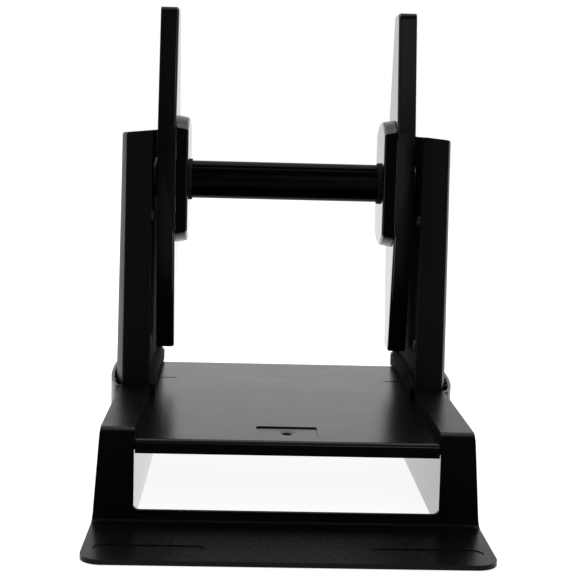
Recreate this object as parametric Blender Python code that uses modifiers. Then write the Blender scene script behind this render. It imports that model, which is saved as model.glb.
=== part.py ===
"""Label roll holder: a moulded stand whose lip slides under a desktop label printer.

A base frame with two rails carries a low deck and two uprights. Each upright is a
shell closed by an inner panel with an open-top slot. A spindle rests in the slots on
two bearing bushes, turns in them, lifts out upwards, and carries two guides, each a
long blade with a core block, that slide along it and are keyed to it.

Metres, +Z up, +Y towards the back. The origin is the middle of the footprint, on the
surface that the stand rests on.
"""

import math

import bmesh
import bpy
from mathutils import Matrix, Vector

# Base frame
BED_HALF = 0.0775
RAIL_WIDTH = 0.0173
RAIL_FLARE = 0.0035
RAIL_TOP = 0.0510
FRAME_WALL = 0.0025
FRAME_NOSE_RADIUS = 0.0055
FRAME_FOLD_RADIUS = 0.0050
FRAME_LIFT = 0.0007
LIP_DEPTH = 0.0630
LIP_THICKNESS = 0.0025
LIP_CORNER_RADIUS = 0.0110
SILL_RISE = 0.0057
WINDOW_CORNER_RADIUS = 0.0028
GROOVE_LENGTH = 0.0540
GROOVE_WIDTH = 0.0115
GROOVE_DEPTH = 0.0004
GROOVE_SETBACK = 0.0183
GROOVE_INSET = 0.0050

# Deck
DECK_DROP = 0.0056
DECK_THICKNESS = 0.0025
DECK_SHORTFALL = 0.0240
DECK_FRONT_SETBACK = 0.0005
DECK_FRONT_HEIGHT = 0.0072
DECK_ROLL_RADIUS = 0.0030
DECK_RIB_HEIGHT = 0.0035
DECK_RIB_WIDTH = 0.0016
RECESS_WIDTH = 0.0320
RECESS_DEPTH = 0.0007
RECESS_LENGTH = 0.0236
RECESS_SETBACK = 0.0124
DISH_RADIUS = 0.0078
DISH_DEPTH = 0.0007
DECK_HOLE_RADIUS = 0.0025
SLIT_LENGTH = 0.0125
SLIT_WIDTH = 0.0019
SLIT_SETBACK = 0.1720
DECK_BOSS_RADIUS = 0.0040
DECK_BOSS_HEIGHT = 0.0060
DECK_BOSS_INSET = 0.0080
DECK_BOSS_END = 0.0300
LEDGE_WIDTH = 0.0026
LEDGE_THICKNESS = 0.0025

# Uprights
UPRIGHT_FRONT = 0.1170
UPRIGHT_DEPTH = 0.1300
UPRIGHT_SETBACK = 0.0009
UPRIGHT_BOW = 0.0080
UPRIGHT_TOP_BOW = 0.0060
UPRIGHT_TOP_SLIM = 0.0005
UPRIGHT_TOP_FALL = 0.0017
UPRIGHT_LEAN_FRONT = 0.0060
UPRIGHT_LEAN_REAR = 0.0240
UPRIGHT_OVER_AXLE = 0.0302
UPRIGHT_WALL = 0.0025
UPRIGHT_RIM = 0.0030
UPRIGHT_EDGE_RADIUS = 0.0012
RIM_INSET = 0.0006
RIM_TOP_INSET = 0.0015
SKIRT_PROUD = 0.0026
SKIRT_REAR_PROUD = 0.0011
SKIRT_SHORTFALL = 0.0050
SKIRT_CORNER_RADIUS = 0.0040
PANEL_THICKNESS = 0.0025
PANEL_RECESS = 0.0031
PANEL_DROP = 0.0004
PANEL_BOSS_RADIUS = 0.0040
SLOT_FLARE = 0.0040

# Sockets that hold the feet of the uprights
SOCKET_DEPTH = 0.0207
SOCKET_WALL = 0.0018
SOCKET_GAP = 0.0006
SOCKET_END = 0.0050
SOCKET_RIB_WIDTH = 0.0012
SOCKET_RIB_DROP = 0.0006
FOOT_BOSS_RADIUS = 0.0045
FOOT_BOSS_INSET = 0.0230

# Spindle
SPINDLE_RADIUS = 0.0116
SPINDLE_BORE_RADIUS = 0.0085
KEYWAY_DEPTH = 0.0008
KEYWAY_WIDTH = 0.0024
JOURNAL_RADIUS = 0.0060
JOURNAL_PLUG_LENGTH = 0.0160
JOURNAL_FLANGE = 0.0024
BUSH_RADIUS = 0.0100
BUSH_FLANGE_RADIUS = 0.0130
BUSH_FLANGE = 0.0014
END_SCREW_RADIUS = 0.0080
END_SCREW_HEAD = 0.0025

# Guides
BLADE_HALF_LENGTH = 0.1045
BLADE_WAIST_HALF = 0.0262
BLADE_WAIST_RISE = 0.0320
BLADE_TIP_HALF = 0.0115
BLADE_THICKNESS = 0.0111
BLADE_TIP_RADIUS = 0.0040
BLADE_EDGE_RADIUS = 0.0017
BLADE_FACE = 0.0025
BLADE_RIM = 0.0024
BLADE_REACH = 0.0003
BLADE_SWEEP_GAP = 0.0191
HUB_CROWN = 0.0073
HUB_TAPER = 0.0010
HUB_LENGTH = 0.0072
HUB_RIM = 0.0024
HUB_WEB = 0.0028
HUB_CHAMFER = 0.0018
HUB_SLEEVE_WALL = 0.0029
HUB_BOSS_RADIUS = 0.0040
HUB_BOSS_RISE = 0.0250
HUB_BOSS_SPREAD = 0.0130
RING_WALL = 0.0007
RING_LENGTH = 0.0037
RING_PROUD = 0.0018

# Screws and feet
SCREW_SHANK_RADIUS = 0.0012
SCREW_HEAD_RADIUS = 0.0030
SCREW_HEAD_HEIGHT = 0.0018
SCREW_BITE = 0.0050
FOOT_RADIUS = 0.0060
FOOT_SEAT_DEPTH = 0.0012
FRONT_FOOT_REACH = 0.0200
FRONT_FOOT_INSET = 0.0120
REAR_FOOT_RADIUS = 0.0080
REAR_FOOT_SETBACK = 0.0130

# Clearances
SEAT_GAP = 0.0003
RUNNING_GAP = 0.0004
OVERRUN = 0.0100
OVERLAP = 0.0004
WELD_DISTANCE = 0.00001

# Places and counts, as shares of what carries them
SOCKET_RIB_SHARES = (-0.69, -0.51, 0.51, 0.69)
PANEL_SCREW_SHARES = ((-0.74, 0.16), (0.70, 0.16), (-0.66, 0.66))
DECK_RIB_SHARES = (-0.62, 0.0, 0.62)
SCREW_CROWN_SHARE = 0.55
PARALLEL_SHARE = 0.999
ARC_STEPS = 10
ROUND_STEPS = 36
SMALL_ROUND_STEPS = 12
CORNER_STEPS = 5

# Derived heights, widths and depths
RAIL_OUTER = BED_HALF + RAIL_WIDTH
BASE_OUTER = RAIL_OUTER + RAIL_FLARE
RAIL_LENGTH = UPRIGHT_FRONT + UPRIGHT_DEPTH + SOCKET_END
PANEL_Y = (LIP_DEPTH - RAIL_LENGTH) / 2
REAR_Y = PANEL_Y + RAIL_LENGTH
LIP_TOP = FRAME_LIFT + LIP_THICKNESS
SILL_TOP = LIP_TOP + SILL_RISE
DECK_TOP = RAIL_TOP - DECK_DROP
DECK_UNDER = DECK_TOP - DECK_THICKNESS
DECK_REAR_Y = REAR_Y - DECK_SHORTFALL
UPRIGHT_Y = PANEL_Y + UPRIGHT_FRONT + UPRIGHT_DEPTH / 2
AXLE_Z = DECK_TOP + BLADE_SWEEP_GAP + BLADE_HALF_LENGTH
UPRIGHT_TOP = AXLE_Z + UPRIGHT_OVER_AXLE
UPRIGHT_BASE = RAIL_TOP + SEAT_GAP
UPRIGHT_EDGE = RAIL_OUTER - UPRIGHT_SETBACK
SOCKET_FLOOR = RAIL_TOP - SOCKET_DEPTH
SOCKET_OUTER = UPRIGHT_EDGE + UPRIGHT_BOW + SOCKET_GAP + SOCKET_WALL
SOCKET_HALF = UPRIGHT_DEPTH / 2 + SOCKET_END
FOOT_INNER = BED_HALF + FRAME_WALL + SEAT_GAP
TRAY_FLOOR = UPRIGHT_BASE + UPRIGHT_RIM
PANEL_INNER = BED_HALF + PANEL_RECESS
PANEL_OUTER = PANEL_INNER + PANEL_THICKNESS
TRAY_SEAT = PANEL_OUTER + SEAT_GAP
BUSH_INNER = PANEL_INNER - SEAT_GAP - BUSH_FLANGE
BUSH_OUTER = PANEL_OUTER + SEAT_GAP + BUSH_FLANGE
BLADE_OUTER = BED_HALF + BLADE_REACH
BLADE_INNER = BLADE_OUTER - BLADE_THICKNESS
HUB_HALF_HEIGHT = BLADE_WAIST_RISE + HUB_CROWN
HUB_SEAT = BLADE_INNER - SEAT_GAP
HUB_TIP = HUB_SEAT - HUB_LENGTH
JOURNAL_SEAT = BUSH_INNER - SEAT_GAP
TUBE_END = JOURNAL_SEAT - JOURNAL_FLANGE - SEAT_GAP
JOURNAL_END = BUSH_OUTER + 2 * SEAT_GAP
KEY_REACH = SPINDLE_RADIUS - KEYWAY_DEPTH + RUNNING_GAP
GUIDE_BORE_RADIUS = SPINDLE_RADIUS + RUNNING_GAP
SLEEVE_RADIUS = GUIDE_BORE_RADIUS + HUB_SLEEVE_WALL
PILOT_RADIUS = SCREW_SHANK_RADIUS + SEAT_GAP
PASS_RADIUS = SCREW_SHANK_RADIUS + 2 * SEAT_GAP


# Materials

def plastic(name, shade, roughness):
    """A moulded black plastic of the given grey level."""
    return surface(name, (shade, shade, shade, 1), roughness, metallic=0)


def surface(name, colour, roughness, metallic):
    material = bpy.data.materials.new(name)
    material.use_nodes = True
    shader = material.node_tree.nodes["Principled BSDF"]
    shader.inputs["Base Color"].default_value = colour
    shader.inputs["Roughness"].default_value = roughness
    shader.inputs["Metallic"].default_value = metallic
    material.diffuse_color = colour
    return material


def make_materials():
    return {
        "frame": plastic("frame_plastic", 0.020, 0.48),
        "deck": plastic("deck_plastic", 0.022, 0.42),
        "upright": plastic("upright_plastic", 0.016, 0.50),
        "panel": plastic("panel_plastic", 0.014, 0.55),
        "guide": plastic("guide_plastic", 0.018, 0.45),
        "hub": plastic("hub_plastic", 0.018, 0.40),
        "spindle": plastic("spindle_plastic", 0.020, 0.35),
        "bush": plastic("bush_plastic", 0.080, 0.40),
        "rubber": plastic("foot_rubber", 0.030, 0.85),
        "steel": surface("screw_steel", (0.30, 0.30, 0.31, 1), 0.35, metallic=1),
    }


# Scene helpers

def clear_scene():
    for obj in list(bpy.data.objects):
        bpy.data.objects.remove(obj, do_unlink=True)


def make_collection(name):
    collection = bpy.data.collections.new(name)
    bpy.context.scene.collection.children.link(collection)
    return collection


class Kit:
    """The two collections and the materials that every builder below needs."""

    def __init__(self):
        self.parts = make_collection("label_roll_holder")
        self.cutters = make_collection("cutters")
        self.materials = make_materials()

    def part(self, name, mesh, finish, parent=None):
        obj = bpy.data.objects.new(name, mesh)
        if not mesh.materials:
            mesh.materials.append(self.materials[finish])
        self.parts.objects.link(obj)
        obj.parent = parent
        return obj

    def helper(self, name, mesh, parent=None):
        obj = bpy.data.objects.new(name, mesh)
        self.cutters.objects.link(obj)
        obj.hide_render = True
        obj.display_type = "WIRE"
        obj.parent = parent
        return obj

    def empty(self, name, location, parent=None):
        obj = bpy.data.objects.new(name, None)
        self.parts.objects.link(obj)
        obj.location = location
        obj.parent = parent
        return obj

    def cut(self, target, shapes):
        self.combine(target, shapes, "DIFFERENCE")

    def join(self, target, shapes):
        self.combine(target, shapes, "UNION")

    def combine(self, target, shapes, operation):
        """Booleans each named shape with the target, as modifiers that stay live."""
        for label, bm in shapes:
            other = self.helper(f"{target.name}_{label}", finish_mesh(bm, label))
            other.location = target.location
            other.rotation_euler = target.rotation_euler
            other.parent = target.parent
            boolean = target.modifiers.new(label, "BOOLEAN")
            boolean.operation = operation
            boolean.solver = "EXACT"
            boolean.object = other


# Shape helpers

def finish_mesh(bm, name):
    """A mesh from the bmesh, with its faces pointing out."""
    bmesh.ops.recalc_face_normals(bm, faces=bm.faces)
    mesh = bpy.data.meshes.new(name)
    bm.to_mesh(mesh)
    bm.free()
    return mesh


def smooth_mesh(mesh):
    mesh.shade_smooth()
    mesh.set_sharp_from_angle(angle=math.radians(30))
    return mesh


def box(low, high):
    """A box between two corners."""
    low, high = Vector(low), Vector(high)
    size = high - low
    bm = bmesh.new()
    bmesh.ops.create_cube(bm, size=1)
    bmesh.ops.scale(bm, vec=size, verts=bm.verts)
    bmesh.ops.translate(bm, vec=(low + high) / 2, verts=bm.verts)
    return bm


def two_sided(low, high):
    """A box and its mirror image over X."""
    bm = box(low, high)
    return mirrored_pair(bm)


def mirrored_pair(bm):
    """Adds the mirror image over X of everything in the bmesh."""
    copy = bmesh.ops.duplicate(bm, geom=list(bm.verts) + list(bm.edges) + list(bm.faces))
    verts = [item for item in copy["geom"] if isinstance(item, bmesh.types.BMVert)]
    bmesh.ops.scale(bm, vec=(-1, 1, 1), verts=verts)
    return bm


def to_side(bm, side):
    """Turns a right-hand shape into the left-hand one where side is -1."""
    bmesh.ops.scale(bm, vec=(side, 1, 1), verts=bm.verts)
    return bm


def outline_points(outline, axis, place):
    """Outline pairs as points on the plane across the axis at the given place."""
    if axis == "X":
        return [Vector((place, a, b)) for a, b in outline]
    if axis == "Y":
        return [Vector((a, place, b)) for a, b in outline]
    return [Vector((a, b, place)) for a, b in outline]


def loft(rings):
    """A closed solid through rings of equally many points, with the end rings as caps."""
    bm = bmesh.new()
    loops = [[bm.verts.new(point) for point in ring] for ring in rings]
    for lower, upper in zip(loops, loops[1:]):
        for index, vert in enumerate(lower):
            following = (index + 1) % len(lower)
            bm.faces.new((vert, lower[following], upper[following], upper[index]))
    bm.faces.new(loops[0])
    bm.faces.new(loops[-1])
    bmesh.ops.recalc_face_normals(bm, faces=bm.faces)
    return bm


def prism(outline, axis, low, high):
    """A flat outline extruded along an axis."""
    bm = bmesh.new()
    face = bm.faces.new([bm.verts.new(point) for point in outline_points(outline, axis, low)])
    grown = bmesh.ops.extrude_face_region(bm, geom=[face])
    moved = [item for item in grown["geom"] if isinstance(item, bmesh.types.BMVert)]
    (shift,) = outline_points([(0, 0)], axis, high - low)
    bmesh.ops.translate(bm, vec=shift, verts=moved)
    bmesh.ops.recalc_face_normals(bm, faces=bm.faces)
    return bm


def rod(axis, centre, radius, low, high, steps=SMALL_ROUND_STEPS):
    """A cylinder along an axis, from low to high on it, centred on the other two."""
    bm = bmesh.new()
    bmesh.ops.create_cone(
        bm, cap_ends=True, segments=steps, radius1=radius, radius2=radius, depth=high - low
    )
    turn = {
        "X": Matrix.Rotation(math.pi / 2, 4, "Y"),
        "Y": Matrix.Rotation(-math.pi / 2, 4, "X"),
        "Z": Matrix.Identity(4),
    }[axis]
    middle = (low + high) / 2
    a, b = centre
    place = {"X": (middle, a, b), "Y": (a, middle, b), "Z": (a, b, middle)}[axis]
    bmesh.ops.transform(bm, matrix=Matrix.Translation(place) @ turn, verts=bm.verts)
    return bm


def arc(centre, radius, start, end, steps=CORNER_STEPS):
    """Points along an arc, angles in degrees."""
    points = []
    for step in range(steps + 1):
        angle = math.radians(start + (end - start) * step / steps)
        a = centre[0] + radius * math.cos(angle)
        b = centre[1] + radius * math.sin(angle)
        points.append((a, b))
    return points


def bevel_edges(bm, chosen, width, segments=CORNER_STEPS):
    """Rounds the edges that the test picks."""
    edges = [edge for edge in bm.edges if chosen(edge)]
    bmesh.ops.bevel(
        bm, geom=edges, offset=width, offset_type="OFFSET", segments=segments,
        profile=0.5, affect="EDGES", clamp_overlap=True, material=-1,
    )
    return bm


def runs_along(edge, axis):
    """True where the edge is parallel to the axis, given as 0, 1 or 2."""
    span = edge.verts[1].co - edge.verts[0].co
    return abs(span[axis]) > PARALLEL_SHARE * span.length


def turned(kit, name, profile, finish, parent=None, steps=ROUND_STEPS, closed=True):
    """A profile of (radius, height) pairs turned about its own Z, first pair nearest the top."""
    bm = bmesh.new()
    verts = [bm.verts.new((radius, 0, height)) for radius, height in profile]
    for first, second in zip(verts, verts[1:]):
        bm.edges.new((first, second))
    if closed:
        bm.edges.new((verts[-1], verts[0]))
    mesh = bpy.data.meshes.new(name)
    bm.to_mesh(mesh)
    bm.free()
    obj = kit.part(name, mesh, finish, parent)
    screw = obj.modifiers.new("turn", "SCREW")
    screw.axis = "Z"
    screw.steps = steps
    screw.render_steps = steps
    screw.use_merge_vertices = True
    screw.merge_threshold = WELD_DISTANCE
    screw.use_smooth_shade = True
    return obj


def face_out(obj, side):
    """Turns a piece whose own Z is its axis so that the axis points out, to +X or -X."""
    obj.rotation_euler = (0, side * math.pi / 2, 0)


# Shared curves of the uprights and their sockets

def blend(low, high, share):
    return low + (high - low) * share


def height_share(z):
    """How far up an upright a height is, from 0 at its base to 1 at its top."""
    return (z - UPRIGHT_BASE) / (UPRIGHT_TOP - UPRIGHT_BASE)


def upright_ends(share):
    """Front and rear of an upright at a height, measured from its middle."""
    half = UPRIGHT_DEPTH / 2
    return UPRIGHT_LEAN_FRONT * share - half, half - UPRIGHT_LEAN_REAR * share


def skin_x(y, share):
    """Distance from the centre plane to the outer skin, bowed as a shallow arc."""
    front, rear = upright_ends(share)
    bow = blend(UPRIGHT_BOW, UPRIGHT_TOP_BOW, share)
    edge = UPRIGHT_EDGE - UPRIGHT_TOP_SLIM * share
    middle, half = (front + rear) / 2, (rear - front) / 2
    radius = (half * half + bow * bow) / (2 * bow)
    return edge + bow - radius + math.sqrt(radius * radius - (y - middle) ** 2)


def rim_x(share):
    """Distance from the centre plane to the inner edge of the rim."""
    return BED_HALF + blend(RIM_INSET, RIM_TOP_INSET, share)


def upright_ring(z, share, inner, wall=0.0, end_wall=0.0, fall=0.0):
    """The plan outline of an upright at a height, drawn in by its walls.

    With a fall, the outline tips down outwards by that much over the rail's width.
    """
    front, rear = upright_ends(share)
    front, rear = front + end_wall, rear - end_wall
    ring = [Vector((inner, rear, z)), Vector((inner, front, z))]
    for step in range(ARC_STEPS + 1):
        y = blend(front, rear, step / ARC_STEPS)
        ring.append(Vector((skin_x(y, share) - wall, y, z)))
    for point in ring:
        point.z -= fall * (point.x - inner) / RAIL_WIDTH
    return ring


def socket_x(y):
    """Distance from the centre plane to the outside of a socket, bulged as an ellipse."""
    reach = max(0.0, 1 - (y / SOCKET_HALF) ** 2)
    return RAIL_OUTER + (SOCKET_OUTER - RAIL_OUTER) * math.sqrt(reach)


def socket_outline(inner, wall, half):
    """The plan outline of a socket, drawn in by its wall and cut off at half its length."""
    points = [(inner, half), (inner, -half)]
    limit = math.degrees(math.asin(min(1.0, half / SOCKET_HALF)))
    for step in range(2 * ARC_STEPS + 1):
        angle = math.radians(blend(-limit, limit, step / (2 * ARC_STEPS)))
        y = SOCKET_HALF * math.sin(angle)
        points.append((socket_x(y) - wall, y))
    return points


def foot_boss_places():
    """Where screws hold an upright to its socket, as (x, y) from the upright's middle."""
    x = (FOOT_INNER + UPRIGHT_EDGE) / 2
    y = UPRIGHT_DEPTH / 2 - FOOT_BOSS_INSET
    return ((x, -y), (x, y))


def panel_screw_places():
    """Where screws hold a panel to its shell, as (y, z) from the upright's middle."""
    places = []
    for across, up in PANEL_SCREW_SHARES:
        front, rear = upright_ends(up)
        y = (front + rear) / 2 + across * (rear - front) / 2
        places.append((y, blend(UPRIGHT_BASE, UPRIGHT_TOP, up)))
    return places


def deck_screw_places():
    """Where screws hold the deck, as world (x, y) of the right-hand pair."""
    x = BED_HALF - DECK_BOSS_INSET
    return ((x, PANEL_Y + DECK_BOSS_END), (x, DECK_REAR_Y - DECK_BOSS_END))


def foot_places():
    """Where the rubber feet sit, as named world (x, y) of the right-hand pair."""
    front = (BASE_OUTER - FRONT_FOOT_INSET, PANEL_Y - FRONT_FOOT_REACH)
    rear = (BED_HALF + FRAME_WALL + REAR_FOOT_RADIUS, REAR_Y - REAR_FOOT_SETBACK)
    return (("front", front), ("rear", rear))


# Base frame

def frame_side_outline():
    """Side view of the frame: lip, fold, rounded nose and rail top, as (y, z)."""
    front = PANEL_Y - LIP_DEPTH
    fold = arc(
        (PANEL_Y - FRAME_FOLD_RADIUS, LIP_TOP + FRAME_FOLD_RADIUS), FRAME_FOLD_RADIUS, -90, 0
    )
    nose = arc(
        (PANEL_Y + FRAME_NOSE_RADIUS, RAIL_TOP - FRAME_NOSE_RADIUS), FRAME_NOSE_RADIUS, 180, 90
    )
    start = [(front, FRAME_LIFT), (front, LIP_TOP)]
    return start + fold + nose + [(REAR_Y, RAIL_TOP), (REAR_Y, FRAME_LIFT)]


def flare_x(z):
    """Outer side of a rail at a height, leaning out towards the base."""
    share = min(1.0, max(0.0, (RAIL_TOP - z) / (RAIL_TOP - LIP_TOP)))
    return RAIL_OUTER + RAIL_FLARE * share


def frame_block():
    """The solid envelope of the frame, flared at the sides and round at the lip's corners."""
    bm = prism(frame_side_outline(), "X", -BASE_OUTER, BASE_OUTER)
    bmesh.ops.bisect_plane(
        bm, geom=list(bm.verts) + list(bm.edges) + list(bm.faces),
        plane_co=(0, 0, LIP_TOP), plane_no=(0, 0, 1), dist=WELD_DISTANCE,
    )
    for vert in bm.verts:
        vert.co.x = math.copysign(flare_x(vert.co.z), vert.co.x)
    front = PANEL_Y - LIP_DEPTH

    def is_corner(edge):
        ys = [vert.co.y for vert in edge.verts]
        return runs_along(edge, 2) and max(ys) < front + OVERLAP

    return bevel_edges(bm, is_corner, LIP_CORNER_RADIUS, 2 * CORNER_STEPS)


def window_outline():
    """The opening between the legs, round at its lower corners and open above, as (x, z)."""
    inset = BED_HALF - WINDOW_CORNER_RADIUS
    z = SILL_TOP + WINDOW_CORNER_RADIUS
    left = arc((-inset, z), WINDOW_CORNER_RADIUS, 180, 270)
    right = arc((inset, z), WINDOW_CORNER_RADIUS, 270, 360)
    top = RAIL_TOP + OVERRUN
    return [(-BED_HALF, top)] + left + right + [(BED_HALF, top)]


def rail_hollow_outline():
    """Inside of a rail, parallel to its flared side, as (x, z)."""
    inner, top, low = BED_HALF + FRAME_WALL, RAIL_TOP - FRAME_WALL, FRAME_LIFT - OVERRUN
    return [
        (inner, low),
        (flare_x(low) - FRAME_WALL, low),
        (flare_x(LIP_TOP) - FRAME_WALL, LIP_TOP),
        (flare_x(top) - FRAME_WALL, top),
        (inner, top),
    ]


def groove(depth_low, depth_high):
    """A stadium-shaped groove in the lip, right-hand side."""
    radius = GROOVE_WIDTH / 2
    end = BASE_OUTER - GROOVE_INSET
    start = end - GROOVE_LENGTH
    y = PANEL_Y - LIP_DEPTH + GROOVE_SETBACK
    outline = arc((end - radius, y), radius, -90, 90) + arc((start + radius, y), radius, 90, 270)
    return prism(outline, "Z", depth_low, depth_high)


def shifted(bm, y):
    bmesh.ops.translate(bm, vec=(0, y, 0), verts=bm.verts)
    return bm


def socket_rib(y):
    """A small upright rib that steadies the foot of an upright inside its socket."""
    half = SOCKET_RIB_WIDTH / 2
    nearest = max(skin_x(y - half, 0), skin_x(y + half, 0)) + SEAT_GAP
    low = (nearest, y - half, SOCKET_FLOOR - OVERLAP)
    high = (socket_x(y) - SOCKET_WALL / 2, y + half, RAIL_TOP - SOCKET_RIB_DROP)
    return box(low, high)


def frame_cuts_before_sockets():
    front, rear = PANEL_Y + FRAME_WALL, REAR_Y - FRAME_WALL
    inner = BED_HALF
    low, high = FRAME_LIFT - OVERRUN, RAIL_TOP + OVERRUN
    hollow = mirrored_pair(prism(rail_hollow_outline(), "Y", front, rear))
    window = prism(window_outline(), "Y", PANEL_Y - OVERRUN, REAR_Y + OVERRUN)
    return (
        ("bed", box((-inner, front, low), (inner, rear, high))),
        ("window", window),
        ("hollow", hollow),
        ("groove", mirrored_pair(groove(LIP_TOP - GROOVE_DEPTH, LIP_TOP + OVERRUN))),
    )


def socket_blocks():
    half = SOCKET_HALF
    outline = socket_outline(BED_HALF + FRAME_WALL / 2, 0, half)
    return shifted(mirrored_pair(prism(outline, "Z", FRAME_LIFT, RAIL_TOP)), UPRIGHT_Y)


def socket_hollows():
    """The pocket that takes the foot, and the hollow under its floor."""
    half = UPRIGHT_DEPTH / 2 + SEAT_GAP
    inner = BED_HALF + FRAME_WALL
    pocket = prism(
        socket_outline(inner, SOCKET_WALL, half), "Z", SOCKET_FLOOR, RAIL_TOP + OVERRUN
    )
    floor = SOCKET_FLOOR - FRAME_WALL
    under = prism(socket_outline(inner, SOCKET_WALL, half), "Z", FRAME_LIFT - OVERRUN, floor)
    return (
        ("pocket", shifted(mirrored_pair(pocket), UPRIGHT_Y)),
        ("under", shifted(mirrored_pair(under), UPRIGHT_Y)),
    )


def skirt_span():
    """Front and rear of the skirt inside a rail, from the upright's middle."""
    half = UPRIGHT_DEPTH / 2
    return -half, half - SKIRT_SHORTFALL


def frame_notches():
    """The gaps in the rails' inner walls that the skirts of the uprights stand in."""
    front, rear = skirt_span()
    inner, outer = BED_HALF - OVERRUN, FOOT_INNER + OVERLAP
    low = (inner, UPRIGHT_Y + front - SEAT_GAP, DECK_TOP)
    high = (outer, UPRIGHT_Y + rear + SEAT_GAP, RAIL_TOP + OVERRUN)
    return two_sided(low, high)


def deck_ledges():
    top = DECK_UNDER - SEAT_GAP
    low = (BED_HALF - LEDGE_WIDTH, PANEL_Y + DECK_BOSS_INSET, top - LEDGE_THICKNESS)
    high = (BED_HALF + FRAME_WALL / 2, DECK_REAR_Y, top)
    return two_sided(low, high)


def deck_tab(x, y):
    """A tab on a rail that takes a screw into a boss of the deck."""
    top = DECK_UNDER - DECK_BOSS_HEIGHT - SEAT_GAP
    reach = DECK_BOSS_RADIUS + SEAT_GAP
    low = (x - reach, y - reach, top - LEDGE_THICKNESS)
    high = (BED_HALF + FRAME_WALL / 2, y + reach, top)
    return two_sided(low, high)


def rear_foot_post():
    """A post under a socket's floor that takes a rubber foot."""
    place = dict(foot_places())["rear"]
    top = SOCKET_FLOOR - FRAME_WALL / 2
    return mirrored_pair(rod("Z", place, REAR_FOOT_RADIUS, FRAME_LIFT, top))


def frame_joins():
    shapes = [("ledges", deck_ledges()), ("rear_posts", rear_foot_post())]
    for index, (x, y) in enumerate(deck_screw_places()):
        shapes.append((f"tab_{index}", deck_tab(x, y)))
    for index, share in enumerate(SOCKET_RIB_SHARES):
        rib = mirrored_pair(socket_rib(share * UPRIGHT_DEPTH / 2))
        shapes.append((f"socket_rib_{index}", shifted(rib, UPRIGHT_Y)))
    return shapes


def frame_holes():
    """Screw holes and the seats of the feet."""
    shapes = []
    top = DECK_UNDER - DECK_BOSS_HEIGHT
    for index, place in enumerate(deck_screw_places()):
        hole = rod("Z", place, PASS_RADIUS, top - OVERRUN, top + OVERLAP)
        shapes.append((f"tab_hole_{index}", mirrored_pair(hole)))
    floor = SOCKET_FLOOR
    for index, place in enumerate(foot_boss_places()):
        hole = rod("Z", place, PASS_RADIUS, floor - 2 * FRAME_WALL, floor + FRAME_WALL)
        shapes.append((f"foot_hole_{index}", shifted(mirrored_pair(hole), UPRIGHT_Y)))
    seat = FRAME_LIFT + FOOT_SEAT_DEPTH
    for label, place in foot_places():
        hole = rod("Z", place, FOOT_RADIUS + SEAT_GAP, FRAME_LIFT - OVERRUN, seat)
        shapes.append((f"{label}_seat", mirrored_pair(hole)))
    return shapes


def build_base_frame(kit):
    frame = kit.part("base_frame", finish_mesh(frame_block(), "base_frame"), "frame")
    kit.cut(frame, frame_cuts_before_sockets())
    kit.join(frame, [("sockets", socket_blocks())])
    kit.cut(frame, socket_hollows())
    kit.cut(frame, [("notches", frame_notches())])
    kit.join(frame, frame_joins())
    kit.cut(frame, frame_holes())
    return frame


# Deck

def deck_side_outline():
    """Side view of the deck: a plate whose front edge rolls down, as (y, z)."""
    front = PANEL_Y + DECK_FRONT_SETBACK
    low = DECK_TOP - DECK_FRONT_HEIGHT
    inner_radius = max(DECK_ROLL_RADIUS - DECK_THICKNESS, DECK_FRONT_SETBACK)
    outer = arc((front + DECK_ROLL_RADIUS, DECK_TOP - DECK_ROLL_RADIUS), DECK_ROLL_RADIUS, 180, 90)
    back = front + DECK_THICKNESS
    inner = arc((back + inner_radius, DECK_UNDER - inner_radius), inner_radius, 90, 180, 2)
    edge = [(DECK_REAR_Y, DECK_TOP), (DECK_REAR_Y, DECK_UNDER)]
    return [(front, low)] + outer + edge + inner + [(back, low)]


def recess_centre_y():
    return PANEL_Y + RECESS_SETBACK + RECESS_LENGTH / 2


def recess_floor():
    return DECK_TOP - RECESS_DEPTH


def deck_joins():
    """Underside of the deck: the pad under the recess, ribs and screw bosses."""
    pad_half = RECESS_WIDTH / 2 + DECK_THICKNESS
    y_half = RECESS_LENGTH / 2 + DECK_THICKNESS / 2
    y = recess_centre_y()
    pad_low = (-pad_half, y - y_half, recess_floor() - DECK_THICKNESS)
    shapes = [("pad", box(pad_low, (pad_half, y + y_half, DECK_UNDER + OVERLAP)))]
    start, end = y + y_half + DECK_THICKNESS, DECK_REAR_Y - DECK_THICKNESS
    for index, share in enumerate(DECK_RIB_SHARES):
        x = share * BED_HALF
        low = (x - DECK_RIB_WIDTH / 2, start, DECK_UNDER - DECK_RIB_HEIGHT)
        high = (x + DECK_RIB_WIDTH / 2, end, DECK_UNDER + OVERLAP)
        shapes.append((f"rib_{index}", box(low, high)))
    for index, place in enumerate(deck_screw_places()):
        low, high = DECK_UNDER - DECK_BOSS_HEIGHT, DECK_UNDER + OVERLAP
        shapes.append((f"boss_{index}", mirrored_pair(rod("Z", place, DECK_BOSS_RADIUS, low, high))))
    return shapes


def dish_cutter():
    """A shallow cone round the hole in the recess."""
    bm = bmesh.new()
    bmesh.ops.create_cone(
        bm, cap_ends=True, segments=ROUND_STEPS // 2, depth=DISH_DEPTH + OVERLAP,
        radius1=DECK_HOLE_RADIUS, radius2=DISH_RADIUS,
    )
    z = recess_floor() - (DISH_DEPTH - OVERLAP) / 2
    bmesh.ops.translate(bm, vec=(0, recess_centre_y(), z), verts=bm.verts)
    return bm


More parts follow.
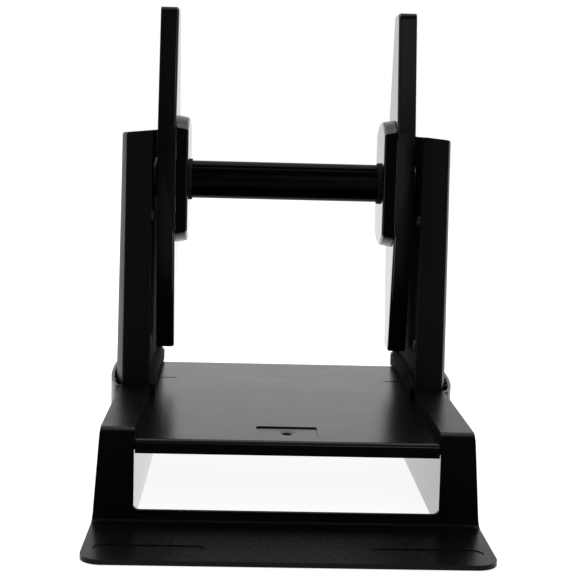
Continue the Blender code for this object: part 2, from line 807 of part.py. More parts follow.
def deck_cuts():
    half = RECESS_WIDTH / 2
    y = recess_centre_y()
    low = (-half, y - RECESS_LENGTH / 2, recess_floor())
    high = (half, y + RECESS_LENGTH / 2, DECK_TOP + OVERRUN)
    recess = bevel_edges(box(low, high), lambda edge: runs_along(edge, 2), DECK_THICKNESS / 2, 3)
    hole = rod("Z", (0, y), DECK_HOLE_RADIUS, DECK_UNDER - OVERRUN, DECK_TOP)
    slit_y = PANEL_Y + SLIT_SETBACK
    slit_low = (BED_HALF - SLIT_LENGTH, slit_y - SLIT_WIDTH / 2, DECK_UNDER - OVERLAP)
    slit_high = (BED_HALF + OVERRUN, slit_y + SLIT_WIDTH / 2, DECK_TOP + OVERLAP)
    shapes = [
        ("recess", recess),
        ("dish", dish_cutter()),
        ("hole", hole),
        ("slits", two_sided(slit_low, slit_high)),
    ]
    bottom = DECK_UNDER - DECK_BOSS_HEIGHT
    for index, place in enumerate(deck_screw_places()):
        pilot = rod("Z", place, PILOT_RADIUS, bottom - OVERRUN, bottom + SCREW_BITE + SEAT_GAP)
        shapes.append((f"pilot_{index}", mirrored_pair(pilot)))
    return shapes


def build_deck(kit):
    half = BED_HALF - SEAT_GAP
    mesh = finish_mesh(prism(deck_side_outline(), "X", -half, half), "deck_plate")
    deck = kit.part("deck_plate", mesh, "deck")
    kit.join(deck, deck_joins())
    kit.cut(deck, deck_cuts())
    return deck


# Uprights

def shell_block(side):
    """The outside of an upright, from its foot in the socket to its top."""
    low = SOCKET_FLOOR + SEAT_GAP
    rings = [
        upright_ring(low, 0, rim_x(0)),
        upright_ring(UPRIGHT_BASE, 0, rim_x(0)),
        upright_ring(UPRIGHT_TOP, 1, rim_x(1), fall=UPRIGHT_TOP_FALL),
    ]
    bm = loft(rings)
    top = UPRIGHT_TOP - 2 * UPRIGHT_TOP_FALL

    def is_top(edge):
        return all(vert.co.z > top for vert in edge.verts)

    bevel_edges(bm, is_top, UPRIGHT_EDGE_RADIUS, 2)
    return to_side(bm, side)


def shell_cavity(side):
    """The inside of the shell, open towards the roll."""
    inner = BED_HALF - OVERRUN
    top = UPRIGHT_TOP - UPRIGHT_RIM - UPRIGHT_TOP_FALL
    low_share, top_share = height_share(TRAY_FLOOR), height_share(top)
    walls = {"wall": UPRIGHT_WALL, "end_wall": UPRIGHT_RIM}
    rings = [
        upright_ring(TRAY_FLOOR, low_share, inner, **walls),
        upright_ring(top, top_share, inner, **walls),
    ]
    return to_side(loft(rings), side)


def panel_outline(gap, top):
    """The opening that a panel fills, or with a gap the panel itself, as (y, z)."""
    low = TRAY_FLOOR + gap
    front, rear = upright_ends(height_share(low))
    high_front, high_rear = upright_ends(height_share(top))
    inset = UPRIGHT_RIM + gap
    return [
        (front + inset, low),
        (rear - inset, low),
        (high_rear - inset, top),
        (high_front + inset, top),
    ]


def shell_skirt(side):
    """The wedge that stands inside the rail, over the deck's edge."""
    front, rear = skirt_span()
    inner_front, inner_rear = BED_HALF - SKIRT_PROUD, BED_HALF - SKIRT_REAR_PROUD
    outer = FOOT_INNER + FRAME_WALL
    outline = [(inner_front, front), (outer, front), (outer, rear), (inner_rear, rear)]
    low, high = DECK_TOP + SEAT_GAP, UPRIGHT_BASE + OVERLAP
    bm = prism(outline, "Z", low, high)

    def is_rear_foot(edge):
        return all(vert.co.y > rear - OVERLAP and vert.co.z < low + OVERLAP for vert in edge.verts)

    bevel_edges(bm, is_rear_foot, SKIRT_CORNER_RADIUS)
    return to_side(bm, side)


def foot_relief(side):
    """What is cut from the inner side of the foot, where the rail's wall stands."""
    low = (BED_HALF - OVERRUN, -UPRIGHT_DEPTH, SOCKET_FLOOR - OVERRUN)
    return to_side(box(low, (FOOT_INNER, UPRIGHT_DEPTH, UPRIGHT_BASE)), side)


def foot_hollow(side):
    """The hollow under the tray, open downwards into the socket."""
    inner = FOOT_INNER + UPRIGHT_WALL
    walls = {"wall": UPRIGHT_WALL, "end_wall": UPRIGHT_RIM}
    rings = [
        upright_ring(SOCKET_FLOOR - OVERRUN, 0, inner, **walls),
        upright_ring(UPRIGHT_BASE - UPRIGHT_RIM, 0, inner, **walls),
    ]
    return to_side(loft(rings), side)


def top_notch(side):
    """The opening in the top through which a bush drops into the shell."""
    half = BUSH_FLANGE_RADIUS + RUNNING_GAP
    outer = JOURNAL_END + END_SCREW_HEAD + 2 * RUNNING_GAP
    low = (PANEL_OUTER - OVERLAP, -half, UPRIGHT_TOP - 2 * UPRIGHT_RIM)
    return to_side(box(low, (outer, half, UPRIGHT_TOP + OVERRUN)), side)


def shell_bosses(side):
    """Posts for the panel's screws and for the screws in the foot."""
    shapes = []
    for index, (y, z) in enumerate(panel_screw_places()):
        end = skin_x(y, height_share(z)) - UPRIGHT_WALL / 2
        post = rod("X", (y, z), PANEL_BOSS_RADIUS, TRAY_SEAT, end)
        shapes.append((f"panel_post_{index}", to_side(post, side)))
    low, high = SOCKET_FLOOR + SEAT_GAP, UPRIGHT_BASE - UPRIGHT_RIM / 2
    for index, place in enumerate(foot_boss_places()):
        post = rod("Z", place, FOOT_BOSS_RADIUS, low, high)
        shapes.append((f"foot_post_{index}", to_side(post, side)))
    return shapes


def shell_pilots(side):
    shapes = []
    for index, place in enumerate(panel_screw_places()):
        end = TRAY_SEAT + SCREW_BITE + SEAT_GAP
        hole = rod("X", place, PILOT_RADIUS, TRAY_SEAT - SEAT_GAP, end)
        shapes.append((f"panel_pilot_{index}", to_side(hole, side)))
    low = SOCKET_FLOOR + SEAT_GAP
    for index, place in enumerate(foot_boss_places()):
        hole = rod("Z", place, PILOT_RADIUS, low - OVERLAP, low + SCREW_BITE + SEAT_GAP)
        shapes.append((f"foot_pilot_{index}", to_side(hole, side)))
    return shapes


def build_shell(kit, label, side):
    name = f"{label}_upright_shell"
    shell = kit.part(name, finish_mesh(shell_block(side), name), "upright")
    shell.location = (0, UPRIGHT_Y, 0)
    opening = panel_outline(0, UPRIGHT_TOP)
    rise = prism(opening, "X", BED_HALF - OVERRUN, TRAY_SEAT)
    bmesh.ops.translate(rise, vec=(0, 0, UPRIGHT_RIM), verts=rise.verts)
    kit.cut(shell, [
        ("cavity", shell_cavity(side)),
        ("opening", to_side(rise, side)),
        ("notch", top_notch(side)),
        ("relief", foot_relief(side)),
        ("foot_hollow", foot_hollow(side)),
    ])
    kit.join(shell, [("skirt", shell_skirt(side))] + shell_bosses(side))
    kit.cut(shell, shell_pilots(side))
    return shell


def slot_cutter(side):
    """The open-top slot that a bush drops into, flared at its mouth."""
    half = BUSH_RADIUS + SEAT_GAP
    low, high = PANEL_INNER - OVERRUN, PANEL_OUTER + OVERRUN
    top = UPRIGHT_TOP - PANEL_DROP
    wide = half + SLOT_FLARE
    round_end = arc((0, AXLE_Z), half, -180, 0, 2 * ARC_STEPS)
    mouth = [
        (half, top - SLOT_FLARE),
        (wide, top),
        (wide, top + OVERRUN),
        (-wide, top + OVERRUN),
        (-wide, top),
        (-half, top - SLOT_FLARE),
    ]
    return to_side(prism(round_end + mouth, "X", low, high), side)


def build_panel(kit, label, side):
    name = f"{label}_upright_panel"
    outline = panel_outline(SEAT_GAP, UPRIGHT_TOP - PANEL_DROP)
    bm = to_side(prism(outline, "X", PANEL_INNER, PANEL_OUTER), side)
    panel = kit.part(name, finish_mesh(bm, name), "panel")
    panel.location = (0, UPRIGHT_Y, 0)
    shapes = [("slot", slot_cutter(side))]
    for index, place in enumerate(panel_screw_places()):
        hole = rod("X", place, PASS_RADIUS, PANEL_INNER - OVERRUN, PANEL_OUTER + OVERRUN)
        shapes.append((f"hole_{index}", to_side(hole, side)))
    kit.cut(panel, shapes)
    return panel


# Screws and feet

def screw_profile(length):
    """A crowned head above zero and a plain shank below it."""
    head, shank, rise = SCREW_HEAD_RADIUS, SCREW_SHANK_RADIUS, SCREW_HEAD_HEIGHT
    crown = SCREW_CROWN_SHARE
    return [
        (0, rise),
        (head * crown, rise),
        (head, rise * crown),
        (head, 0),
        (shank, 0),
        (shank, -length),
        (0, -length),
    ]


def add_screw(kit, name, length, location, rotation, parent=None):
    screw = turned(
        kit, name, screw_profile(length), "steel", parent, SMALL_ROUND_STEPS, closed=False
    )
    screw.location = location
    screw.rotation_euler = rotation
    return screw


def build_deck_screws(kit):
    head = DECK_UNDER - DECK_BOSS_HEIGHT - 2 * SEAT_GAP - LEDGE_THICKNESS
    length = LEDGE_THICKNESS + 2 * SEAT_GAP + SCREW_BITE - SEAT_GAP
    for place, (x, y) in zip(("front", "rear"), deck_screw_places()):
        for label, side in (("left", -1), ("right", 1)):
            name = f"deck_screw_{label}_{place}"
            add_screw(kit, name, length, (side * x, y, head), (math.pi, 0, 0))


def build_upright_screws(kit, label, side):
    head = SOCKET_FLOOR - FRAME_WALL - SEAT_GAP
    length = FRAME_WALL + 2 * SEAT_GAP + SCREW_BITE - SEAT_GAP
    for place, (x, y) in zip(("front", "rear"), foot_boss_places()):
        name = f"{label}_foot_screw_{place}"
        add_screw(kit, name, length, (side * x, UPRIGHT_Y + y, head), (math.pi, 0, 0))
    x = side * (PANEL_INNER - SEAT_GAP)
    length = PANEL_THICKNESS + 2 * SEAT_GAP + SCREW_BITE - SEAT_GAP
    turn = (0, -side * math.pi / 2, 0)
    for place, (y, z) in zip(("low_front", "low_rear", "high_front"), panel_screw_places()):
        name = f"{label}_panel_screw_{place}"
        add_screw(kit, name, length, (x, UPRIGHT_Y + y, z), turn)


def build_feet(kit):
    top = FRAME_LIFT + FOOT_SEAT_DEPTH - SEAT_GAP
    edge = FOOT_RADIUS - FRAME_LIFT
    profile = [(0, top), (FOOT_RADIUS, top), (FOOT_RADIUS, FRAME_LIFT), (edge, 0), (0, 0)]
    for place, (x, y) in foot_places():
        for label, side in (("left", -1), ("right", 1)):
            name = f"rubber_foot_{label}_{place}"
            foot = turned(kit, name, profile, "rubber", None, SMALL_ROUND_STEPS, closed=False)
            foot.location = (side * x, y, 0)


# Spindle

def keyways():
    """Four grooves along the spindle, halfway between its top, front, bottom and back."""
    shapes = []
    for index in range(4):
        floor = SPINDLE_RADIUS - KEYWAY_DEPTH
        low = (-TUBE_END - OVERRUN, -KEYWAY_WIDTH / 2, floor)
        bm = box(low, (TUBE_END + OVERRUN, KEYWAY_WIDTH / 2, SPINDLE_RADIUS + OVERRUN))
        turn = Matrix.Rotation(math.radians(45 + 90 * index), 4, "X")
        bmesh.ops.transform(bm, matrix=turn, verts=bm.verts)
        shapes.append((f"keyway_{index}", bm))
    return shapes


def build_tube(kit, spindle):
    outside = rod("X", (0, 0), SPINDLE_RADIUS, -TUBE_END, TUBE_END, ROUND_STEPS)
    mesh = smooth_mesh(finish_mesh(outside, "spindle_tube"))
    tube = kit.part("spindle_tube", mesh, "spindle", spindle)
    end = TUBE_END + OVERRUN
    bore = rod("X", (0, 0), SPINDLE_BORE_RADIUS, -end, end, ROUND_STEPS // 2)
    kit.cut(tube, [("bore", bore)] + keyways())
    return tube


def build_journal(kit, label, side, spindle):
    """A stub that plugs the tube's end and turns in a bush."""
    pilot_end = JOURNAL_END - SCREW_BITE - JOURNAL_FLANGE - SEAT_GAP
    flange = JOURNAL_SEAT - JOURNAL_FLANGE
    plug_radius = SPINDLE_BORE_RADIUS - SEAT_GAP
    profile = [
        (0, pilot_end),
        (PILOT_RADIUS, pilot_end),
        (PILOT_RADIUS, JOURNAL_END),
        (JOURNAL_RADIUS, JOURNAL_END),
        (JOURNAL_RADIUS, JOURNAL_SEAT),
        (SPINDLE_RADIUS - SEAT_GAP, JOURNAL_SEAT),
        (SPINDLE_RADIUS - SEAT_GAP, flange),
        (plug_radius, flange),
        (plug_radius, flange - JOURNAL_PLUG_LENGTH),
        (0, flange - JOURNAL_PLUG_LENGTH),
    ]
    name = f"{label}_journal"
    journal = turned(kit, name, profile, "spindle", spindle, ROUND_STEPS // 2, closed=False)
    face_out(journal, side)


def build_end_screw(kit, label, side, spindle):
    """A flanged screw that keeps the bush on its journal."""
    seat = JOURNAL_END + SEAT_GAP
    top = seat + END_SCREW_HEAD
    crown = END_SCREW_RADIUS * SCREW_CROWN_SHARE
    tip = JOURNAL_END - SCREW_BITE - JOURNAL_FLANGE
    profile = [
        (0, top),
        (crown, top),
        (END_SCREW_RADIUS, seat + END_SCREW_HEAD * SCREW_CROWN_SHARE),
        (END_SCREW_RADIUS, seat),
        (SCREW_SHANK_RADIUS, seat),
        (SCREW_SHANK_RADIUS, tip),
        (0, tip),
    ]
    name = f"{label}_end_screw"
    screw = turned(kit, name, profile, "steel", spindle, ROUND_STEPS // 2, closed=False)
    face_out(screw, side)


def build_bush(kit, label, side, lift):
    """A flanged bearing block that straddles the panel and seats in its slot."""
    bore = JOURNAL_RADIUS + RUNNING_GAP
    inner, outer = PANEL_INNER - SEAT_GAP, PANEL_OUTER + SEAT_GAP
    profile = [
        (BUSH_FLANGE_RADIUS, BUSH_OUTER),
        (BUSH_FLANGE_RADIUS, outer),
        (BUSH_RADIUS, outer),
        (BUSH_RADIUS, inner),
        (BUSH_FLANGE_RADIUS, inner),
        (BUSH_FLANGE_RADIUS, BUSH_INNER),
        (bore, BUSH_INNER),
        (bore, BUSH_OUTER),
    ]
    bush = turned(kit, f"{label}_bush", profile, "bush", lift, ROUND_STEPS // 2)
    face_out(bush, side)


# Guides

def blade_half_depth(z):
    """Half the depth of a blade at a height from the axle, even along its waist."""
    share = max(0.0, abs(z) - BLADE_WAIST_RISE) / (BLADE_HALF_LENGTH - BLADE_WAIST_RISE)
    return blend(BLADE_WAIST_HALF, BLADE_TIP_HALF, share)


def blade_block(side):
    """A long plate with a straight waist, tapered to both ends and round at its inner edge."""
    tip, waist, end, rise = BLADE_TIP_HALF, BLADE_WAIST_HALF, BLADE_HALF_LENGTH, BLADE_WAIST_RISE
    right = [(tip, -end), (waist, -rise), (waist, rise), (tip, end)]
    left = [(-tip, end), (-waist, rise), (-waist, -rise), (-tip, -end)]
    bm = prism(right + left, "X", BLADE_INNER, BLADE_OUTER)

    def is_tip(edge):
        return runs_along(edge, 0) and abs(edge.verts[0].co.z) > end - OVERLAP

    def is_inner_rim(edge):
        """Edges of the inner face, but for the waist, where the hub lies flush."""
        inner = all(vert.co.x < BLADE_INNER + OVERLAP for vert in edge.verts)
        return inner and any(abs(vert.co.z) > rise + OVERLAP for vert in edge.verts)

    bevel_edges(bm, is_tip, BLADE_TIP_RADIUS)
    bevel_edges(bm, is_inner_rim, BLADE_EDGE_RADIUS, 3)
    return to_side(bm, side)


def blade_pocket(side, up, back):
    """One of four hollows in a blade's outer face, between its rim and its ribs."""
    start, end = HUB_HALF_HEIGHT + BLADE_RIM, BLADE_HALF_LENGTH - BLADE_RIM
    rib = BLADE_RIM / 2
    outline = [
        (back * rib, up * start),
        (back * (blade_half_depth(start) - BLADE_RIM), up * start),
        (back * (blade_half_depth(end) - BLADE_RIM), up * end),
        (back * rib, up * end),
    ]
    bm = prism(outline, "X", BLADE_INNER + BLADE_FACE, BLADE_OUTER + OVERRUN)
    return to_side(bm, side)


def hub_screw_places():
    """The four corners of the hub that take a screw, from the axle, as (y, z)."""
    y, z = HUB_BOSS_SPREAD, HUB_BOSS_RISE
    return ((-y, z), (y, z), (-y, -z), (y, -z))


def hub_screw_head():
    """Distance from the centre to the underside of a hub screw's head."""
    return BLADE_OUTER - SCREW_HEAD_HEIGHT - 2 * SEAT_GAP


def build_blade(kit, label, side, guide):
    name = f"{label}_guide_blade"
    blade = kit.part(name, finish_mesh(blade_block(side), name), "guide", guide)
    shapes = []
    for up in (-1, 1):
        for back in (-1, 1):
            shapes.append((f"pocket_{up}_{back}", blade_pocket(side, up, back)))
    ends = (BLADE_INNER - OVERRUN, BLADE_OUTER + OVERRUN)
    bore = rod("X", (0, 0), GUIDE_BORE_RADIUS, *ends, ROUND_STEPS)
    shapes.append(("bore", to_side(bore, side)))
    seat = hub_screw_head() - SEAT_GAP
    for index, place in enumerate(hub_screw_places()):
        hole = rod("X", place, PASS_RADIUS, *ends)
        counterbore = rod("X", place, SCREW_HEAD_RADIUS + SEAT_GAP, seat, BLADE_OUTER + OVERRUN)
        shapes.append((f"hole_{index}", to_side(hole, side)))
        shapes.append((f"counterbore_{index}", to_side(counterbore, side)))
    kit.cut(blade, shapes)
    return blade


def hub_ring(x, inset):
    """The outline of a hub at a distance from the centre, drawn in by an inset.

    It is flat in front and behind, flush with the blade's waist, and crowned as a
    shallow arc above and below.
    """
    half, edge = BLADE_WAIST_HALF - inset, BLADE_WAIST_RISE - inset
    radius = (half * half + HUB_CROWN * HUB_CROWN) / (2 * HUB_CROWN)
    centre = edge + HUB_CROWN - radius
    span = math.degrees(math.asin(half / radius))
    above = arc((0, centre), radius, 90 - span, 90 + span, ARC_STEPS)
    below = arc((0, -centre), radius, 270 - span, 270 + span, ARC_STEPS)
    return outline_points(above + below, "X", x)


def hub_block(side):
    """The outside of a hub, tapering from the blade to a chamfered tip."""
    rings = [
        hub_ring(HUB_SEAT, 0),
        hub_ring(HUB_TIP + HUB_CHAMFER, HUB_TAPER),
        hub_ring(HUB_TIP, HUB_TAPER + HUB_CHAMFER),
    ]
    return to_side(loft(rings), side)


def hub_hollow(side):
    """The inside of a hub, open towards the blade."""
    web = HUB_TIP + HUB_WEB
    rings = [
        hub_ring(HUB_SEAT + OVERLAP, HUB_RIM),
        hub_ring(web, HUB_RIM + HUB_TAPER * (HUB_SEAT - web) / HUB_LENGTH),
    ]
    return to_side(loft(rings), side)


def hub_keys(side):
    """Four keys in the hub's bore that ride in the spindle's keyways."""
    shapes = []
    half = KEYWAY_WIDTH / 2 - SEAT_GAP
    start = HUB_TIP - RING_PROUD + RING_LENGTH + 2 * SEAT_GAP
    high = GUIDE_BORE_RADIUS + HUB_SLEEVE_WALL / 2
    for index in range(4):
        bm = box((start, -half, KEY_REACH), (HUB_SEAT - SEAT_GAP, half, high))
        turn = Matrix.Rotation(math.radians(45 + 90 * index), 4, "X")
        bmesh.ops.transform(bm, matrix=turn, verts=bm.verts)
        shapes.append((f"key_{index}", to_side(bm, side)))
    return shapes


def build_hub(kit, label, side, guide):
    """The block on a blade that fills the end of a roll's core."""
    name = f"{label}_core_hub"
    hub = kit.part(name, finish_mesh(hub_block(side), name), "hub", guide)
    kit.cut(hub, [("hollow", hub_hollow(side))])
    web = HUB_TIP + HUB_WEB / 2
    sleeve = rod("X", (0, 0), SLEEVE_RADIUS, web, HUB_SEAT, ROUND_STEPS)
    joins, pilots = [("sleeve", to_side(sleeve, side))], []
    for index, place in enumerate(hub_screw_places()):
        boss = rod("X", place, HUB_BOSS_RADIUS, web, HUB_SEAT)
        pilot = rod("X", place, PILOT_RADIUS, HUB_SEAT - SCREW_BITE - SEAT_GAP, HUB_SEAT + OVERLAP)
        joins.append((f"boss_{index}", to_side(boss, side)))
        pilots.append((f"pilot_{index}", to_side(pilot, side)))
    kit.join(hub, joins)
    bore = rod("X", (0, 0), GUIDE_BORE_RADIUS, HUB_TIP - OVERLAP, HUB_SEAT + OVERLAP, ROUND_STEPS)
    ring_seat = HUB_TIP - RING_PROUD + RING_LENGTH + SEAT_GAP
    ring_bore = GUIDE_BORE_RADIUS + RING_WALL + SEAT_GAP
    seat = rod("X", (0, 0), ring_bore, HUB_TIP - OVERLAP, ring_seat, ROUND_STEPS)
    kit.cut(hub, [("bore", to_side(bore, side)), ("ring_seat", to_side(seat, side))] + pilots)
    kit.join(hub, hub_keys(side))
    return hub


def build_ring(kit, label, side, guide):
    """A soft ring in the mouth of the hub's sleeve that grips the spindle."""
    low = HUB_TIP - RING_PROUD
    inner, outer = GUIDE_BORE_RADIUS, GUIDE_BORE_RADIUS + RING_WALL
    profile = [(outer, low + RING_LENGTH), (outer, low), (inner, low), (inner, low + RING_LENGTH)]
    ring = turned(kit, f"{label}_grip_ring", profile, "rubber", guide, ROUND_STEPS // 2)
    face_out(ring, side)


def build_hub_screws(kit, label, side, guide):
    head = hub_screw_head()
    length = head - HUB_SEAT + SCREW_BITE
    for index, (y, z) in enumerate(hub_screw_places()):
        name = f"{label}_hub_screw_{index + 1}"
        turn = (0, side * math.pi / 2, 0)
        add_screw(kit, name, length, (side * head, y, z), turn, guide)


def build_guide(kit, label, side, spindle):
    guide = kit.empty(f"{label}_guide_slide", (0, 0, 0), spindle)
    build_blade(kit, label, side, guide)
    build_hub(kit, label, side, guide)
    build_ring(kit, label, side, guide)
    build_hub_screws(kit, label, side, guide)


def build_all():
    clear_scene()
    kit = Kit()
    build_base_frame(kit)
    build_deck(kit)
    build_deck_screws(kit)
    build_feet(kit)
    lift = kit.empty("bush_lift", (0, UPRIGHT_Y, AXLE_Z))
    spindle = kit.empty("spindle_axis", (0, 0, 0), lift)
    build_tube(kit, spindle)
    for label, side in (("left", -1), ("right", 1)):
        build_shell(kit, label, side)
        build_panel(kit, label, side)
        build_upright_screws(kit, label, side)
        build_bush(kit, label, side, lift)
        build_journal(kit, label, side, spindle)
        build_end_screw(kit, label, side, spindle)
        build_guide(kit, label, side, spindle)


build_all()
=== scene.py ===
"""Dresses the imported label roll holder: a black moulded stand with a turning spindle.

Each moulding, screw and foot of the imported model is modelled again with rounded
edges and finer detail, takes a procedural finish and rides on the body that it
belongs to. Lengths are metres in the model's own frame: +Z up, +Y to the back.
"""

import logging
import math
from dataclasses import dataclass
from enum import Enum
from typing import Callable, Iterable, Optional, Sequence

import bmesh
import bpy
from mathutils import Matrix, Vector


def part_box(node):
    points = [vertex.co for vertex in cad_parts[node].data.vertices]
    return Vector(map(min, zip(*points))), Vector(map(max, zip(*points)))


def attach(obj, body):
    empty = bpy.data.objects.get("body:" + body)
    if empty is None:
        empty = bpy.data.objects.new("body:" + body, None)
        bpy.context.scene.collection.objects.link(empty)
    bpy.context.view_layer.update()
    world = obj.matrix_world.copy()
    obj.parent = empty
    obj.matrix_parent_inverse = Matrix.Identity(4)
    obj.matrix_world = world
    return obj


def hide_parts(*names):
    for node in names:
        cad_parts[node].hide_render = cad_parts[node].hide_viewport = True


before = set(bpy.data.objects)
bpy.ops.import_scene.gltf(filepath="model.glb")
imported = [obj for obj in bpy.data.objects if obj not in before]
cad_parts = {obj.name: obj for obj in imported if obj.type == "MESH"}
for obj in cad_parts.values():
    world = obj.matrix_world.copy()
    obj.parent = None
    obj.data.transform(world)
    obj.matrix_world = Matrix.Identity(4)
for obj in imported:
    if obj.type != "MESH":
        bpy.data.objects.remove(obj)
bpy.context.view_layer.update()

LOG = logging.getLogger("label_roll_holder")

SEAT_GAP = 0.0003
RUNNING_GAP = 0.0004
OVERRUN = 0.0100
OVERLAP = 0.0004
WELD = 0.000008

Pair = tuple[float, float]
Outline = list[Pair]
EdgeTest = Callable[[bmesh.types.BMEdge], bool]
FaceTest = Callable[[bmesh.types.BMFace], bool]


class Side(Enum):
    """The two mirrored sides of the stand."""

    LEFT = -1
    RIGHT = 1

    @property
    def label(self) -> str:
        """The side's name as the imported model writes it."""
        return self.name.lower()


class Axis(Enum):
    """A main direction of the model."""

    X = 0
    Y = 1
    Z = 2

    def place(self, across: float, up: float, along: float) -> Vector:
        """Puts two cross coordinates and a distance along this axis into space.

        Args:
            across: The first of the two other coordinates.
            up: The second of the two other coordinates.
            along: The distance along this axis.

        Returns:
            The point.
        """
        values = [across, up]
        values.insert(self.value, along)
        return Vector(values)


class Slot(Enum):
    """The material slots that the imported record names."""

    FRAME = "frame_plastic"
    DECK = "deck_plastic"
    UPRIGHT = "upright_plastic"
    PANEL = "panel_plastic"
    GUIDE = "guide_plastic"
    HUB = "hub_plastic"
    SPINDLE = "spindle_plastic"
    BUSH = "bush_plastic"
    RUBBER = "foot_rubber"
    STEEL = "screw_steel"


class Skin(Enum):
    """Finishes of single faces unlike the rest of a piece; the darker shaded one is painted shade."""

    MATT = 1
    SHADED = 2
    POLISHED = 3


def blend(low: float, high: float, share: float) -> float:
    """The value at a share of the way from low to high."""
    return low + (high - low) * share


def arc(centre: Pair, radius: float, start: float, end: float, steps: int = 8) -> Outline:
    """Points along an arc.

    Args:
        centre: The middle of the arc.
        radius: Its radius.
        start: The first angle in degrees.
        end: The last angle in degrees.
        steps: How many chords it has.

    Returns:
        The points from start to end.
    """
    points = []
    for step in range(steps + 1):
        angle = math.radians(blend(start, end, step / steps))
        points.append((centre[0] + radius * math.cos(angle), centre[1] + radius * math.sin(angle)))
    return points


def runs_along(edge: bmesh.types.BMEdge, axis: Axis) -> bool:
    """Whether an edge is parallel to an axis."""
    span = edge.verts[1].co - edge.verts[0].co
    return abs(span[axis.value]) > 0.999 * span.length


class Form:
    """A closed shape while it is being modelled."""

    def __init__(self, bm: bmesh.types.BMesh) -> None:
        """Takes over a bmesh."""
        self.bm = bm

    @classmethod
    def block(cls, low: Sequence[float], high: Sequence[float]) -> "Form":
        """A box between two corners."""
        bm = bmesh.new()
        bmesh.ops.create_cube(bm, size=1)
        bmesh.ops.scale(bm, vec=Vector(high) - Vector(low), verts=bm.verts)
        bmesh.ops.translate(bm, vec=(Vector(low) + Vector(high)) / 2, verts=bm.verts)
        return cls(bm)

    @classmethod
    def plate(cls, outline: Outline, axis: Axis, low: float, high: float) -> "Form":
        """A flat outline extruded along an axis.

        Args:
            outline: The corners in order, as the two coordinates across the axis.
            axis: The direction of the extrusion.
            low: Where it starts on the axis.
            high: Where it ends.

        Returns:
            The closed plate.
        """
        bm = bmesh.new()
        face = bm.faces.new([bm.verts.new(axis.place(a, b, low)) for a, b in outline])
        grown = bmesh.ops.extrude_face_region(bm, geom=[face])["geom"]
        moved = [item for item in grown if isinstance(item, bmesh.types.BMVert)]
        bmesh.ops.translate(bm, vec=axis.place(0, 0, high - low), verts=moved)
        return cls(bm).facing_out()

    @classmethod
    def loft(cls, rings: Sequence[Sequence[Vector]]) -> "Form":
        """A closed solid through rings of equally many points."""
        bm = bmesh.new()
        loops = []
        for ring in rings:
            verts = [bm.verts.new(point) for point in ring]
            pairs = zip(verts, verts[1:] + verts[:1])
            loops.append([bm.edges.new(pair) for pair in pairs])
        for lower, upper in zip(loops, loops[1:]):
            bmesh.ops.bridge_loops(bm, edges=lower + upper)
        bmesh.ops.holes_fill(bm, edges=loops[0] + loops[-1], sides=0)
        return cls(bm).facing_out()

    @classmethod
    def rod(
        cls, axis: Axis, centre: Pair, radius: float, low: float, high: float,
        steps: int = 24, far_radius: Optional[float] = None,
    ) -> "Form":
        """A cylinder or cone along an axis.

        Args:
            axis: Its direction.
            centre: Its place, as the two coordinates across the axis.
            radius: Its radius at the low end.
            low: Where it starts on the axis.
            high: Where it ends.
            steps: How many sides it has.
            far_radius: Its radius at the high end, where that differs.

        Returns:
            The closed rod.
        """
        bm = bmesh.new()
        far = radius if far_radius is None else far_radius
        bmesh.ops.create_cone(
            bm, cap_ends=True, segments=steps, radius1=radius, radius2=far, depth=high - low
        )
        turns = {
            Axis.X: Matrix.Rotation(math.pi / 2, 4, "Y"),
            Axis.Y: Matrix.Rotation(-math.pi / 2, 4, "X"),
            Axis.Z: Matrix.Identity(4),
        }
        middle = Matrix.Translation(axis.place(*centre, (low + high) / 2))
        return cls(bm).moved(middle @ turns[axis])

    @classmethod
    def turned(cls, profile: Outline, closed: bool = False, steps: int = 48) -> "Form":
        """A profile turned about the X axis.

        Args:
            profile: Pairs of radius and distance along X, in order.
            closed: Whether the last pair joins the first one.
            steps: How many sides the shape has.

        Returns:
            The closed turned shape.
        """
        bm = bmesh.new()
        verts = [bm.verts.new((along, 0, radius)) for radius, along in profile]
        pairs = list(zip(verts, verts[1:]))
        if closed:
            pairs.append((verts[-1], verts[0]))
        edges = [bm.edges.new(pair) for pair in pairs]
        bmesh.ops.spin(
            bm, geom=verts + edges, cent=(0, 0, 0), axis=(1, 0, 0), dvec=(0, 0, 0),
            angle=2 * math.pi, steps=steps, use_merge=True, use_duplicate=False,
        )
        return cls(bm).welded()

    def copy(self) -> "Form":
        """Another form of the same shape."""
        return Form(self.bm.copy())

    def moved(self, matrix: Matrix) -> "Form":
        """Transforms the shape and returns it."""
        bmesh.ops.transform(self.bm, matrix=matrix, verts=self.bm.verts)
        return self

    def shifted(self, x: float = 0, y: float = 0, z: float = 0) -> "Form":
        """Moves the shape and returns it."""
        return self.moved(Matrix.Translation((x, y, z)))

    def on(self, side: Side) -> "Form":
        """Turns a right-hand shape into the one for the given side."""
        bmesh.ops.scale(self.bm, vec=(side.value, 1, 1), verts=self.bm.verts)
        return self.facing_out()

    def both_sides(self) -> "Form":
        """Adds the mirror image over X."""
        geometry = list(self.bm.verts) + list(self.bm.edges) + list(self.bm.faces)
        made = bmesh.ops.duplicate(self.bm, geom=geometry)["geom"]
        verts = [item for item in made if isinstance(item, bmesh.types.BMVert)]
        bmesh.ops.scale(self.bm, vec=(-1, 1, 1), verts=verts)
        return self.facing_out()

    def facing_out(self) -> "Form":
        """Points every face outwards."""
        bmesh.ops.recalc_face_normals(self.bm, faces=self.bm.faces)
        return self

    def welded(self) -> "Form":
        """Closes seams and poles, then points every face outwards."""
        bmesh.ops.remove_doubles(self.bm, verts=self.bm.verts, dist=WELD)
        bmesh.ops.dissolve_degenerate(self.bm, edges=self.bm.edges, dist=WELD)
        return self.facing_out()

